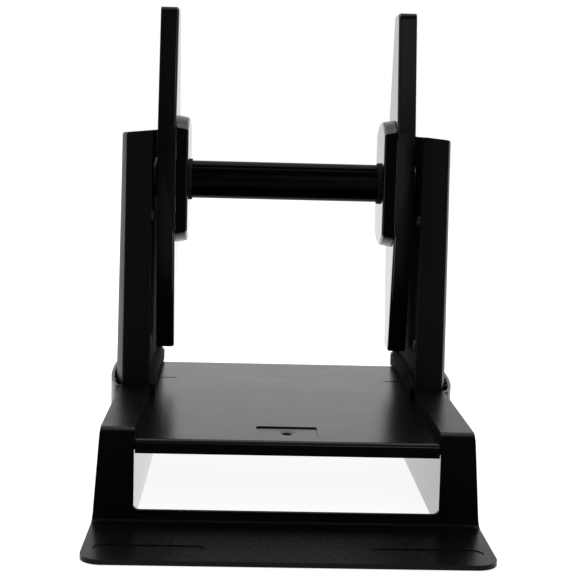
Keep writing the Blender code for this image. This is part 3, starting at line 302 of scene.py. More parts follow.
    def soften(self, test: EdgeTest, width: float, segments: int = 3) -> "Form":
        """Rounds the edges that a test picks.

        Args:
            test: Says whether an edge is rounded.
            width: How far from the edge the rounding starts.
            segments: How many strips it has.

        Returns:
            The shape itself.
        """
        chosen = [edge for edge in self.bm.edges if test(edge)]
        bmesh.ops.bevel(
            self.bm, geom=chosen, offset=width, offset_type="OFFSET", segments=segments,
            profile=0.5, affect="EDGES", clamp_overlap=True, material=-1,
        )
        return self.facing_out()

    def round_edges(self, width: float, segments: int = 2, least_angle: float = 35) -> "Form":
        """Rounds every edge that turns by more than an angle in degrees."""
        limit = math.radians(least_angle)
        return self.welded().soften(
            lambda edge: edge.is_manifold and edge.calc_face_angle() > limit, width, segments
        )

    def cut(self, *others: "Form") -> "Form":
        """Takes other shapes away from this one."""
        return self._combine(others, "DIFFERENCE")

    def fuse(self, *others: "Form") -> "Form":
        """Joins other shapes to this one."""
        return self._combine(others, "UNION")

    def split_level(self, z: float) -> "Form":
        """Divides every face that crosses a height there."""
        bmesh.ops.bisect_plane(
            self.bm, geom=list(self.bm.verts) + list(self.bm.edges) + list(self.bm.faces),
            plane_co=(0, 0, z), plane_no=(0, 0, 1), dist=WELD,
        )
        return self

    def set_apart(self, skin: Skin, test: FaceTest) -> "Form":
        """Gives the faces that a test picks a skin of their own."""
        self.bm.normal_update()
        for face in self.bm.faces:
            if test(face):
                face.material_index = skin.value
        return self

    def mesh(self, name: str) -> bpy.types.Mesh:
        """A mesh of the shape. The form isn't used after it."""
        made = bpy.data.meshes.new(name)
        self.bm.to_mesh(made)
        self.bm.free()
        return made

    def _combine(self, others: Sequence["Form"], operation: str) -> "Form":
        """Runs one exact boolean for each of the other shapes, in order."""
        collection = bpy.context.scene.collection
        stock = bpy.data.objects.new("stock", self.mesh("stock"))
        tools = [bpy.data.objects.new("tool", other.mesh("tool")) for other in others]
        for obj in (stock, *tools):
            collection.objects.link(obj)
        for tool in tools:
            step = stock.modifiers.new("step", "BOOLEAN")
            step.operation = operation
            step.solver = "EXACT"
            step.object = tool
        depsgraph = bpy.context.evaluated_depsgraph_get()
        result = bpy.data.meshes.new_from_object(stock.evaluated_get(depsgraph))
        self.bm = bmesh.new()
        self.bm.from_mesh(result)
        bpy.data.meshes.remove(result)
        for obj in (stock, *tools):
            bpy.data.meshes.remove(obj.data)
        return self.welded()


class NodeTree:
    """A small writer of shader nodes."""

    def __init__(self, tree: bpy.types.NodeTree) -> None:
        """Writes into the given tree."""
        self.tree = tree

    def add(self, kind: str, **inputs: object) -> bpy.types.Node:
        """Adds a node and sets or links its inputs.

        Args:
            kind: The node's type name.
            **inputs: Values or output sockets by input name, with _ for a space.

        Returns:
            The new node.
        """
        node = self.tree.nodes.new(kind)
        for name, value in inputs.items():
            self.feed(node, name.replace("_", " "), value)
        return node

    def feed(self, node: bpy.types.Node, name: object, value: object) -> None:
        """Sets one input of a node to a value or links it to a socket."""
        socket = node.inputs[name]
        if isinstance(value, bpy.types.NodeSocket):
            self.tree.links.new(value, socket)
        else:
            socket.default_value = value

    def maths(self, operation: str, *values: object, clamp: bool = False) -> bpy.types.NodeSocket:
        """The result of a Math node on the given values."""
        node = self.tree.nodes.new("ShaderNodeMath")
        node.operation = operation
        node.use_clamp = clamp
        for index, value in enumerate(values):
            self.feed(node, index, value)
        return node.outputs[0]

    def remap(self, value: object, low: float, high: float, to_low: float = 0,
              to_high: float = 1) -> bpy.types.NodeSocket:
        """A value moved from one range to another and held inside it."""
        node = self.add(
            "ShaderNodeMapRange", Value=value, From_Min=low, From_Max=high,
            To_Min=to_low, To_Max=to_high,
        )
        return node.outputs["Result"]

    def mix(self, share: object, first: object, second: object) -> bpy.types.NodeSocket:
        """Two colours mixed by a share."""
        node = self.tree.nodes.new("ShaderNodeMix")
        node.data_type = "RGBA"
        for index, value in ((0, share), (6, first), (7, second)):
            self.feed(node, index, value)
        return node.outputs[2]

    def noise(self, vector: object, scale: object, detail: float, roughness: float = 0.5
              ) -> bpy.types.NodeSocket:
        """A noise value between 0 and 1."""
        node = self.add(
            "ShaderNodeTexNoise", Vector=vector, Scale=scale, Detail=detail, Roughness=roughness
        )
        return node.outputs[0]


@dataclass(frozen=True)
class Port:
    """A named input or output of an effect."""

    name: str
    kind: str = "NodeSocketFloat"
    value: Optional[float] = None


class Effect:
    """A shader node group that several finishes share, built once."""

    name: str = ""
    takes: tuple[Port, ...] = ()
    gives: tuple[Port, ...] = ()
    _built: Optional[bpy.types.NodeTree] = None

    @classmethod
    def group(cls) -> bpy.types.NodeTree:
        """The effect's node group, made on its first use."""
        if cls._built is None:
            tree = bpy.data.node_groups.new(cls.name, "ShaderNodeTree")
            for ports, way in ((cls.takes, "INPUT"), (cls.gives, "OUTPUT")):
                for port in ports:
                    made = tree.interface.new_socket(port.name, in_out=way, socket_type=port.kind)
                    if port.value is not None:
                        made.default_value = port.value
            source = tree.nodes.new("NodeGroupInput")
            target = tree.nodes.new("NodeGroupOutput")
            cls.wire(NodeTree(tree), source, target)
            cls._built = tree
        return cls._built

    @classmethod
    def wire(cls, tree: NodeTree, source: bpy.types.Node, target: bpy.types.Node) -> None:
        """Adds the effect's own nodes between its inputs and outputs."""
        raise NotImplementedError

    @classmethod
    def place(cls, tree: NodeTree, **inputs: object) -> bpy.types.Node:
        """Puts the effect into a material.

        Args:
            tree: The material's nodes.
            **inputs: The effect's inputs by name, with _ for a space.

        Returns:
            The group node.
        """
        node = tree.tree.nodes.new("ShaderNodeGroup")
        node.node_tree = cls.group()
        for name, value in inputs.items():
            tree.feed(node, name.replace("_", " "), value)
        return node


class MouldedGrain(Effect):
    """The fine spark-eroded texture that a mould leaves on plastic."""

    name = "moulded_grain"
    takes = (Port("Vector", "NodeSocketVector"), Port("Grains per Metre", value=1600))
    gives = (Port("Height"), Port("Mottle"))

    @classmethod
    def wire(cls, tree: NodeTree, source: bpy.types.Node, target: bpy.types.Node) -> None:
        """Fine grain for the height, and the same with wider patches for the mottle."""
        vector, scale = source.outputs["Vector"], source.outputs["Grains per Metre"]
        fine = tree.noise(vector, scale, 2, 0.6)
        broad = tree.noise(vector, tree.maths("MULTIPLY", scale, 0.3), 3, 0.65)
        mottle = tree.maths("ADD", tree.maths("MULTIPLY", fine, 0.5),
                            tree.maths("MULTIPLY", broad, 0.5))
        tree.feed(target, "Height", tree.remap(fine, 0.25, 0.75))
        tree.feed(target, "Mottle", tree.remap(mottle, 0.35, 0.65))


class HandlingMarks(Effect):
    """Smudges and fine rub marks where rolls and hands have been."""

    name = "handling_marks"
    takes = (Port("Vector", "NodeSocketVector"), Port("Patches per Metre", value=22))
    gives = (Port("Smudge"), Port("Rub"))

    @classmethod
    def wire(cls, tree: NodeTree, source: bpy.types.Node, target: bpy.types.Node) -> None:
        """Broad soft patches, and thin streaks drawn out along Y."""
        vector, scale = source.outputs["Vector"], source.outputs["Patches per Metre"]
        smudge = tree.noise(vector, scale, 4, 0.6)
        drawn = tree.add("ShaderNodeMapping", Vector=vector, Scale=(40.0, 3.0, 40.0))
        rub = tree.noise(drawn.outputs["Vector"], tree.maths("MULTIPLY", scale, 1.2), 3, 0.7)
        tree.feed(target, "Smudge", tree.remap(smudge, 0.45, 0.72))
        tree.feed(target, "Rub", tree.remap(rub, 0.62, 0.78))


class EdgeWear(Effect):
    """Where edges have been rubbed smooth."""

    name = "edge_wear"
    takes = (Port("Vector", "NodeSocketVector"), Port("Breaks per Metre", value=160))
    gives = (Port("Wear"),)
    radius = 0.0007

    @classmethod
    def wire(cls, tree: NodeTree, source: bpy.types.Node, target: bpy.types.Node) -> None:
        """Compares the surface with a rounded copy of it, broken up by noise."""
        rounded = tree.add("ShaderNodeBevel", Radius=cls.radius)
        rounded.samples = 4
        surface = tree.add("ShaderNodeNewGeometry")
        dot = tree.tree.nodes.new("ShaderNodeVectorMath")
        dot.operation = "DOT_PRODUCT"
        tree.feed(dot, 0, rounded.outputs["Normal"])
        tree.feed(dot, 1, surface.outputs["Normal"])
        bend = tree.remap(dot.outputs["Value"], 0.99, 0.80)
        breaks = tree.noise(source.outputs["Vector"], source.outputs["Breaks per Metre"], 4, 0.7)
        worn = tree.maths("MULTIPLY", bend, tree.remap(breaks, 0.38, 0.62), clamp=True)
        tree.feed(target, "Wear", worn)


class SettledDust(Effect):
    """A thin veil of dust on what faces up."""

    name = "settled_dust"
    takes = (Port("Vector", "NodeSocketVector"), Port("Specks per Metre", value=900))
    gives = (Port("Dust"),)

    @classmethod
    def wire(cls, tree: NodeTree, source: bpy.types.Node, target: bpy.types.Node) -> None:
        """Specks and soft patches, only where the surface looks upwards."""
        surface = tree.add("ShaderNodeNewGeometry")
        parts = tree.add("ShaderNodeSeparateXYZ", Vector=surface.outputs["Normal"])
        upward = tree.remap(parts.outputs["Z"], 0.55, 1.0)
        vector, scale = source.outputs["Vector"], source.outputs["Specks per Metre"]
        specks = tree.remap(tree.noise(vector, scale, 3, 0.7), 0.62, 0.74)
        patches = tree.remap(tree.noise(vector, 14.0, 3), 0.38, 0.70)
        veil = tree.maths("ADD", tree.maths("MULTIPLY", specks, 0.6),
                          tree.maths("MULTIPLY", patches, 0.4))
        tree.feed(target, "Dust", tree.maths("MULTIPLY", veil, upward, clamp=True))


def grey(level: float) -> tuple[float, float, float, float]:
    """A neutral colour of the given level."""
    return (level, level, level, 1.0)


def new_material(name: str) -> tuple[bpy.types.Material, NodeTree, bpy.types.Node]:
    """An empty node material.

    Args:
        name: The material's name.

    Returns:
        The material, the writer of its nodes and its Principled shader.
    """
    material = bpy.data.materials.new(name)
    material.use_nodes = True
    return material, NodeTree(material.node_tree), material.node_tree.nodes["Principled BSDF"]


@dataclass(frozen=True)
class MouldedPlastic:
    """Black plastic as it comes out of a textured mould, after some use."""

    name: str
    shade: float = 0.0030
    roughness: float = 0.28
    gloss: float = 0.08
    grains: float = 2600
    grain_depth: float = 0.000012
    mottle: float = 0.08
    handling: float = 0.03
    wear: float = 0.5
    dust: float = 0.05

    def build(self) -> bpy.types.Material:
        """Makes the material."""
        material, tree, shader = new_material(self.name)
        vector = tree.add("ShaderNodeTexCoord").outputs["Object"]
        grain = MouldedGrain.place(tree, Vector=vector, Grains_per_Metre=self.grains)
        marks = HandlingMarks.place(tree, Vector=vector)
        wear = EdgeWear.place(tree, Vector=vector)
        dust = SettledDust.place(tree, Vector=vector)
        worn = tree.maths("MULTIPLY", wear.outputs["Wear"], self.wear)
        veil = tree.maths("MULTIPLY", dust.outputs["Dust"], self.dust)
        smudge = tree.maths("MULTIPLY", marks.outputs["Smudge"], self.handling)
        rub = tree.maths("MULTIPLY", marks.outputs["Rub"], self.handling)
        colour = tree.mix(grain.outputs["Mottle"], grey(self.shade * 0.8), grey(self.shade * 1.25))
        colour = tree.mix(smudge, colour, grey(self.shade * 2))
        colour = tree.mix(worn, colour, grey(self.shade * 3.2))
        colour = tree.mix(veil, colour, (0.085, 0.082, 0.078, 1.0))
        rough = tree.maths("MULTIPLY_ADD", grain.outputs["Mottle"], self.mottle,
                           self.roughness - self.mottle / 2)
        rough = tree.maths("SUBTRACT", rough, smudge)
        rough = tree.maths("ADD", rough, rub)
        rough = tree.maths("MULTIPLY_ADD", worn, -0.12, rough)
        rough = tree.maths("MULTIPLY_ADD", veil, 0.35, rough, clamp=True)
        bump = tree.add("ShaderNodeBump", Height=grain.outputs["Height"], Distance=self.grain_depth)
        tree.feed(shader, "Base Color", colour)
        tree.feed(shader, "Roughness", rough)
        tree.feed(shader, "Normal", bump.outputs["Normal"])
        shader.inputs["Specular IOR Level"].default_value = self.gloss
        return material


@dataclass(frozen=True)
class SoftRubber:
    """Matt black rubber with a powdery bloom."""

    name: str
    shade: float = 0.016
    roughness: float = 0.85
    grains: float = 2200

    def build(self) -> bpy.types.Material:
        """Makes the material."""
        material, tree, shader = new_material(self.name)
        vector = tree.add("ShaderNodeTexCoord").outputs["Object"]
        grain = MouldedGrain.place(tree, Vector=vector, Grains_per_Metre=self.grains)
        marks = HandlingMarks.place(tree, Vector=vector, Patches_per_Metre=120)
        bloom = tree.maths("MULTIPLY", marks.outputs["Smudge"], 0.5)
        colour = tree.mix(bloom, grey(self.shade), grey(self.shade * 3))
        rough = tree.maths("MULTIPLY_ADD", grain.outputs["Mottle"], 0.1, self.roughness - 0.05)
        bump = tree.add("ShaderNodeBump", Height=grain.outputs["Height"], Distance=0.00005)
        tree.feed(shader, "Base Color", colour)
        tree.feed(shader, "Roughness", rough)
        tree.feed(shader, "Normal", bump.outputs["Normal"])
        shader.inputs["Specular IOR Level"].default_value = 0.3
        return material


@dataclass(frozen=True)
class BlackenedSteel:
    """Blackened steel, rubbed brighter in patches and at its edges."""

    name: str
    shade: float = 0.030
    roughness: float = 0.45

    def build(self) -> bpy.types.Material:
        """Makes the material."""
        material, tree, shader = new_material(self.name)
        vector = tree.add("ShaderNodeTexCoord").outputs["Object"]
        marks = HandlingMarks.place(tree, Vector=vector, Patches_per_Metre=400)
        grain = MouldedGrain.place(tree, Vector=vector, Grains_per_Metre=3000)
        wear = EdgeWear.place(tree, Vector=vector, Breaks_per_Metre=600)
        colour = tree.mix(marks.outputs["Smudge"], grey(self.shade), grey(self.shade * 0.6))
        colour = tree.mix(wear.outputs["Wear"], colour, grey(self.shade * 2))
        rough = tree.maths("MULTIPLY_ADD", marks.outputs["Smudge"], 0.2, self.roughness)
        bump = tree.add("ShaderNodeBump", Height=grain.outputs["Height"], Distance=0.00001)
        tree.feed(shader, "Base Color", colour)
        tree.feed(shader, "Roughness", rough)
        tree.feed(shader, "Normal", bump.outputs["Normal"])
        shader.inputs["Metallic"].default_value = 1.0
        return material


class Finishes:
    """The finish of every material slot, each made once."""

    def __init__(self) -> None:
        """Builds the materials."""
        finishes = {
            Slot.FRAME: MouldedPlastic("frame_black"),
            Slot.DECK: MouldedPlastic("deck_black", 0.0015, 0.23, gloss=0.15, mottle=0.06),
            Slot.UPRIGHT: MouldedPlastic("upright_black", 0.0026, 0.44, gloss=0.042),
            Slot.PANEL: MouldedPlastic("panel_black", 0.0025, 0.75, gloss=0.02, wear=0.2),
            Slot.GUIDE: MouldedPlastic("guide_black", roughness=0.22, gloss=0.05),
            Slot.HUB: MouldedPlastic("core_block_black", 0.0020, 0.22, gloss=0.12),
            Slot.SPINDLE: MouldedPlastic("spindle_black", 0.0008, 0.24, gloss=0.02, mottle=0.05,
                                         wear=0.4),
            Slot.BUSH: MouldedPlastic("bush_grey", 0.030, 0.40, gloss=0.2, dust=0.1),
            Slot.RUBBER: SoftRubber("foot_black", 0.003),
            Slot.STEEL: BlackenedSteel("screw_black"),
        }
        skins = {
            Skin.MATT: MouldedPlastic("matt_black", 0.0025, 0.75, gloss=0.02, wear=0.2),
            # A darker copy of the black plastic: painted shade for faces turned to the front.
            Skin.SHADED: MouldedPlastic("painted_shade_black", 0.0012, 0.60, gloss=0.022, wear=0.2),
            Skin.POLISHED: MouldedPlastic("polished_black", 0.0030, 0.08, gloss=0.60, mottle=0.02,
                                          handling=0.01),
        }
        self.materials = {slot: finish.build() for slot, finish in finishes.items()}
        self.skins = {skin: finish.build() for skin, finish in skins.items()}

    def dress(self, obj: bpy.types.Object, slot: Slot) -> None:
        """Gives a piece the finish of a slot, and its set-apart faces their skins."""
        faces = obj.data.polygons
        used = sorted({face.material_index for face in faces} | {0})
        for face in faces:
            face.material_index = used.index(face.material_index)
        obj.data.materials.append(self.materials[slot])
        for index in used[1:]:
            obj.data.materials.append(self.skins[Skin(index)])


@dataclass
class Workshop:
    """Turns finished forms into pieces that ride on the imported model."""

    finishes: Finishes
    count: int = 0

    def add(self, name: str, form: Form, slot: Slot, body: str, *nodes: str) -> bpy.types.Object:
        """Makes a piece from a form.

        Args:
            name: The piece's name.
            form: Its finished shape.
            slot: The slot whose finish it takes.
            body: The body that it rides on.
            *nodes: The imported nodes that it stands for.

        Returns:
            The piece.
        """
        mesh = form.welded().mesh(name)
        mesh.shade_smooth()
        mesh.set_sharp_from_angle(angle=math.radians(50))
        piece = bpy.data.objects.new(name, mesh)
        bpy.context.scene.collection.objects.link(piece)
        weighted = piece.modifiers.new("weighted_normals", "WEIGHTED_NORMAL")
        weighted.keep_sharp = True
        self.finishes.dress(piece, slot)
        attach(piece, body)
        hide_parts(*nodes)
        self.count += 1
        LOG.info("%s: %d faces, rides on %s", name, len(mesh.polygons), body)
        return piece


@dataclass(frozen=True)
class Layout:
    """Places that several pieces share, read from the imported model."""

    front_y: float
    rear_y: float
    rail_top: float
    base_outer: float
    deck_top: float
    deck_under: float
    deck_front_y: float
    deck_rear_y: float
    deck_half: float
    axle_y: float
    axle_z: float
    upright_top: float
    lift: float
    bed_half: float = 0.0775
    lip_depth: float = 0.0630
    lip_thickness: float = 0.0025
    rail_width: float = 0.0173
    wall: float = 0.0025

    @classmethod
    def read(cls) -> "Layout":
        """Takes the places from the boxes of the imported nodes."""
        frame_low, frame_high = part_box("base_frame")
        deck_low, deck_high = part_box("deck_plate")
        tube_low, tube_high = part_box("spindle_tube")
        _, shell_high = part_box("right_upright_shell")
        lip_half = 0.0983
        return cls(
            front_y=frame_low.y,
            rear_y=frame_high.y,
            rail_top=frame_high.z,
            base_outer=lip_half,
            deck_top=deck_high.z,
            deck_under=deck_high.z - 0.0025,
            deck_front_y=deck_low.y,
            deck_rear_y=deck_high.y,
            deck_half=deck_high.x,
            axle_y=(tube_low.y + tube_high.y) / 2,
            axle_z=(tube_low.z + tube_high.z) / 2,
            upright_top=shell_high.z,
            lift=frame_low.z,
        )

    @property
    def panel_y(self) -> float:
        """Where the front panel stands up from the lip."""
        return self.front_y + self.lip_depth

    @property
    def lip_top(self) -> float:
        """Height of the lip's upper face."""
        return self.lift + self.lip_thickness

    @property
    def rail_outer(self) -> float:
        """Half the width over the rails at their top."""
        return self.bed_half + self.rail_width

    @property
    def upright_base(self) -> float:
        """Height at which an upright sits on its rail."""
        return self.rail_top + SEAT_GAP

    @property
    def foot_inner(self) -> float:
        """Inner side of an upright's foot, beside the rail's inner wall."""
        return self.bed_half + self.wall + SEAT_GAP


@dataclass(frozen=True)
class UprightCurves:
    """The bowed and leaning sides that an upright and its socket share."""

    layout: Layout
    depth: float = 0.1300
    setback: float = 0.0009
    bow: float = 0.0080
    top_bow: float = 0.0060
    top_slim: float = 0.0005
    lean_front: float = 0.0060
    lean_rear: float = 0.0240
    rim_inset: float = 0.0006
    rim_top_inset: float = 0.0015
    socket_depth: float = 0.0207
    socket_wall: float = 0.0018
    socket_gap: float = 0.0006
    socket_end: float = 0.0050
    steps: int = 28

    @property
    def edge(self) -> float:
        """Distance from the centre plane to the outer edge at the base."""
        return self.layout.rail_outer - self.setback

    @property
    def socket_floor(self) -> float:
        """Height of the floor that an upright's foot stands on."""
        return self.layout.rail_top - self.socket_depth

    @property
    def socket_half(self) -> float:
        """Half the length of a socket."""
        return self.depth / 2 + self.socket_end

    def share(self, z: float) -> float:
        """How far up an upright a height is, from 0 to 1."""
        base = self.layout.upright_base
        return (z - base) / (self.layout.upright_top - base)

    def ends(self, share: float) -> Pair:
        """Front and rear at a height, from the upright's middle."""
        half = self.depth / 2
        return self.lean_front * share - half, half - self.lean_rear * share

    def skin(self, y: float, share: float) -> float:
        """Distance from the centre plane to the bowed outer skin."""
        front, rear = self.ends(share)
        bow = blend(self.bow, self.top_bow, share)
        edge = self.edge - self.top_slim * share
        middle, half = (front + rear) / 2, (rear - front) / 2
        radius = (half * half + bow * bow) / (2 * bow)
        return edge + bow - radius + math.sqrt(radius * radius - (y - middle) ** 2)

    def rim(self, share: float) -> float:
        """Distance from the centre plane to the inner edge."""
        return self.layout.bed_half + blend(self.rim_inset, self.rim_top_inset, share)

    def ring(self, z: float, share: float, inner: float, wall: float = 0, end_wall: float = 0,
             fall: float = 0) -> list[Vector]:
        """The plan outline of an upright at a height.

        Args:
            z: The height.
            share: How far up that is.
            inner: Where the outline's inner side runs.
            wall: How far the skin is drawn in.
            end_wall: How far the ends are drawn in.
            fall: How much lower the outline is at its outer side.

        Returns:
            The points of the ring.
        """
        front, rear = self.ends(share)
        front, rear = front + end_wall, rear - end_wall
        ring = [Vector((inner, rear, z)), Vector((inner, front, z))]
        for step in range(self.steps + 1):
            y = blend(front, rear, step / self.steps)
            ring.append(Vector((self.skin(y, share) - wall, y, z)))
        for point in ring:
            point.z -= fall * (point.x - inner) / self.layout.rail_width
        return ring

    def socket(self, y: float) -> float:
        """Distance from the centre plane to the outside of a socket."""
        outer = self.edge + self.bow + self.socket_gap + self.socket_wall
        reach = max(0.0, 1 - (y / self.socket_half) ** 2)
        return blend(self.layout.rail_outer, outer, math.sqrt(reach))

    def socket_outline(self, inner: float, wall: float, half: float) -> Outline:
        """The plan outline of a socket, drawn in by its wall."""
        points = [(inner, half), (inner, -half)]
        limit = math.degrees(math.asin(min(1.0, half / self.socket_half)))
        for step in range(2 * self.steps + 1):
            angle = math.radians(blend(-limit, limit, step / (2 * self.steps)))
            y = self.socket_half * math.sin(angle)
            points.append((self.socket(y) - wall, y))
        return points

    def foot_screws(self) -> tuple[Pair, Pair]:
        """Where screws hold an upright to its socket, as (x, y) from its middle."""
        x = (self.layout.foot_inner + self.edge) / 2
        y = self.depth / 2 - 0.0230
        return (x, -y), (x, y)

    def panel_screws(self) -> list[Pair]:
        """Where screws hold a panel, as (y, z) from the upright's middle."""
        places = []
        for across, up in ((-0.74, 0.16), (0.70, 0.16), (-0.66, 0.66)):
            front, rear = self.ends(up)
            y = (front + rear) / 2 + across * (rear - front) / 2
            places.append((y, blend(self.layout.upright_base, self.layout.upright_top, up)))
        return places


@dataclass
class BaseFrame:
    """The one-piece frame: lip, front panel, rails and sockets."""

    layout: Layout
    curves: UprightCurves
    rail_flare: float = 0.0035
    nose_radius: float = 0.0055
    fold_radius: float = 0.0050
    lip_corner: float = 0.0110
    sill_rise: float = 0.0057
    window_corner: float = 0.0028
    groove_length: float = 0.0540
    groove_width: float = 0.0115
    groove_depth: float = 0.0004
    groove_setback: float = 0.0183
    groove_inset: float = 0.0050
    ledge_width: float = 0.0026
    ledge_thickness: float = 0.0025
    edge_radius: float = 0.00035

    def flare(self, z: float) -> float:
        """Outer side of a rail at a height, leaning out towards the base."""
        layout = self.layout
        share = (layout.rail_top - z) / (layout.rail_top - layout.lip_top)
        return layout.rail_outer + self.rail_flare * min(1.0, max(0.0, share))

    def envelope(self) -> Form:
        """The solid outside of the frame."""
        layout = self.layout
        fold = arc((layout.panel_y - self.fold_radius, layout.lip_top + self.fold_radius),
                   self.fold_radius, -90, 0)
        nose = arc((layout.panel_y + self.nose_radius, layout.rail_top - self.nose_radius),
                   self.nose_radius, 180, 90)
        outline = [(layout.front_y, layout.lift), (layout.front_y, layout.lip_top), *fold, *nose,
                   (layout.rear_y, layout.rail_top), (layout.rear_y, layout.lift)]
        form = Form.plate(outline, Axis.X, -layout.base_outer, layout.base_outer)
        bm = form.bm
        bmesh.ops.bisect_plane(
            bm, geom=list(bm.verts) + list(bm.edges) + list(bm.faces),
            plane_co=(0, 0, layout.lip_top), plane_no=(0, 0, 1), dist=WELD,
        )
        for vert in bm.verts:
            vert.co.x = math.copysign(self.flare(vert.co.z), vert.co.x)
        front = layout.front_y + OVERLAP

        def is_corner(edge: bmesh.types.BMEdge) -> bool:
            """Whether an edge is one of the lip's two upright corners."""
            return runs_along(edge, Axis.Z) and all(vert.co.y < front for vert in edge.verts)

        return form.soften(is_corner, self.lip_corner, 12)

    def openings(self) -> list[Form]:
        """The bed, the window and the hollows under the rails."""
        layout = self.layout
        half, top = layout.bed_half, layout.rail_top + OVERRUN
        front, rear = layout.panel_y + layout.wall, layout.rear_y - layout.wall
        low = layout.lift - OVERRUN
        inset, corner_z = half - self.window_corner, layout.lip_top + self.sill_rise + self.window_corner
        window = [(-half, top), *arc((-inset, corner_z), self.window_corner, 180, 270),
                  *arc((inset, corner_z), self.window_corner, 270, 360), (half, top)]
        inner, roof = half + layout.wall, layout.rail_top - layout.wall
        hollow = [(inner, low), (self.flare(low) - layout.wall, low),
                  (self.flare(layout.lip_top) - layout.wall, layout.lip_top),
                  (self.flare(roof) - layout.wall, roof), (inner, roof)]
        return [
            Form.block((-half, front, low), (half, rear, top)),
            Form.plate(window, Axis.Y, layout.panel_y - OVERRUN, layout.rear_y + OVERRUN),
            Form.plate(hollow, Axis.Y, front, rear).both_sides(),
        ]

    def groove(self) -> Form:
        """The stadium-shaped grooves in the lip."""
        radius = self.groove_width / 2
        end = self.layout.base_outer - self.groove_inset
        start, y = end - self.groove_length, self.layout.front_y + self.groove_setback
        outline = arc((end - radius, y), radius, -90, 90, 16)
        outline += arc((start + radius, y), radius, 90, 270, 16)
        top = self.layout.lip_top
        return Form.plate(outline, Axis.Z, top - self.groove_depth, top + OVERRUN).both_sides()

    def sockets(self) -> tuple[Form, list[Form]]:
        """The bulges that hold the uprights, and what is hollow in them."""
        layout, curves = self.layout, self.curves
        block = Form.plate(
            curves.socket_outline(layout.bed_half + layout.wall / 2, 0, curves.socket_half),
            Axis.Z, layout.lift, layout.rail_top,
        )
        half = curves.depth / 2 + SEAT_GAP
        outline = curves.socket_outline(layout.bed_half + layout.wall, curves.socket_wall, half)
        pocket = Form.plate(outline, Axis.Z, curves.socket_floor, layout.rail_top + OVERRUN)
        under = Form.plate(outline, Axis.Z, layout.lift - OVERRUN, curves.socket_floor - layout.wall)
        y = layout.axle_y
        return block.both_sides().shifted(y=y), [
            pocket.both_sides().shifted(y=y), under.both_sides().shifted(y=y)
        ]

    def notches(self) -> Form:
        """The gaps in the rails' inner walls for the skirts of the uprights."""
        layout, half = self.layout, self.curves.depth / 2
        low = (layout.bed_half - OVERRUN, layout.axle_y - half - SEAT_GAP, layout.deck_top)
        high = (layout.foot_inner + OVERLAP, layout.axle_y + half - 0.0050 + SEAT_GAP,
                layout.rail_top + OVERRUN)
        return Form.block(low, high).both_sides()

    def additions(self) -> list[Form]:
        """Ledges and tabs for the deck, posts for the feet and ribs in the sockets."""
        layout, curves = self.layout, self.curves
        wall_in = layout.bed_half + layout.wall / 2
        top = layout.deck_under - SEAT_GAP
        low = (layout.bed_half - self.ledge_width, layout.panel_y + 0.0080, top - self.ledge_thickness)
        shapes = [Form.block(low, (wall_in, layout.deck_rear_y, top)).both_sides()]
        post = Form.rod(Axis.Z, Feet.places(layout)["rear"], 0.0080, layout.lift,
                        curves.socket_floor - layout.wall / 2)
        shapes.append(post.both_sides())
        tab_top = layout.deck_under - 0.0060 - SEAT_GAP
        for x, y in Deck.screws(layout):
            reach = 0.0040 + SEAT_GAP
            low = (x - reach, y - reach, tab_top - self.ledge_thickness)
            shapes.append(Form.block(low, (wall_in, y + reach, tab_top)).both_sides())
        for share in (-0.69, -0.51, 0.51, 0.69):
            y, half = share * curves.depth / 2, 0.0006
            near = max(curves.skin(y - half, 0), curves.skin(y + half, 0)) + SEAT_GAP
            low = (near, y - half, curves.socket_floor - OVERLAP)
            high = (curves.socket(y) - curves.socket_wall / 2, y + half, layout.rail_top - 0.0006)
            shapes.append(Form.block(low, high).both_sides().shifted(y=layout.axle_y))
        return shapes

    def holes(self) -> list[Form]:
        """Screw holes and the seats of the feet."""
        layout, floor = self.layout, self.curves.socket_floor
        tab = layout.deck_under - 0.0060
        shapes = [Form.rod(Axis.Z, place, 0.0018, tab - OVERRUN, tab + OVERLAP).both_sides()
                  for place in Deck.screws(layout)]
        for place in self.curves.foot_screws():
            hole = Form.rod(Axis.Z, place, 0.0018, floor - 2 * layout.wall, floor + layout.wall)
            shapes.append(hole.both_sides().shifted(y=layout.axle_y))
        for place in Feet.places(layout).values():
            seat = Form.rod(Axis.Z, place, 0.0063, layout.lift - OVERRUN, layout.lift + 0.0012, 32)
            shapes.append(seat.both_sides())
        return shapes

    def is_rail_side(self, face: bmesh.types.BMFace, above: bool) -> bool:
        """Whether a face is the inner side of a rail, above the deck or under it."""
        centre = face.calc_center_median()
        inward = face.normal.x * math.copysign(1, centre.x) < -0.9
        beside = abs(centre.x) < self.layout.foot_inner
        return inward and beside and (centre.z > self.layout.deck_under) == above

    def is_front(self, face: bmesh.types.BMFace) -> bool:
        """Whether a face is on the front of the legs or the sill, which gets painted shade."""
        return face.normal.y < -0.7 and face.calc_center_median().y > self.layout.front_y + OVERRUN

    def build(self, workshop: Workshop) -> None:
        """Models the frame and adds it."""
        layout = self.layout
        form = self.envelope().cut(*self.openings(), self.groove())
        block, hollows = self.sockets()
        form.fuse(block).cut(*hollows, self.notches()).fuse(*self.additions()).cut(*self.holes())
        form.round_edges(self.edge_radius).split_level(layout.deck_under)
        form.set_apart(Skin.MATT, lambda face: self.is_rail_side(face, above=True))
        form.set_apart(Skin.POLISHED, lambda face: self.is_rail_side(face, above=False))
        # The fronts of the legs and sill take the darker colour: painted shade.
        form.set_apart(Skin.SHADED, self.is_front)
        workshop.add("frame_moulding", form, Slot.FRAME, "stand", "base_frame")


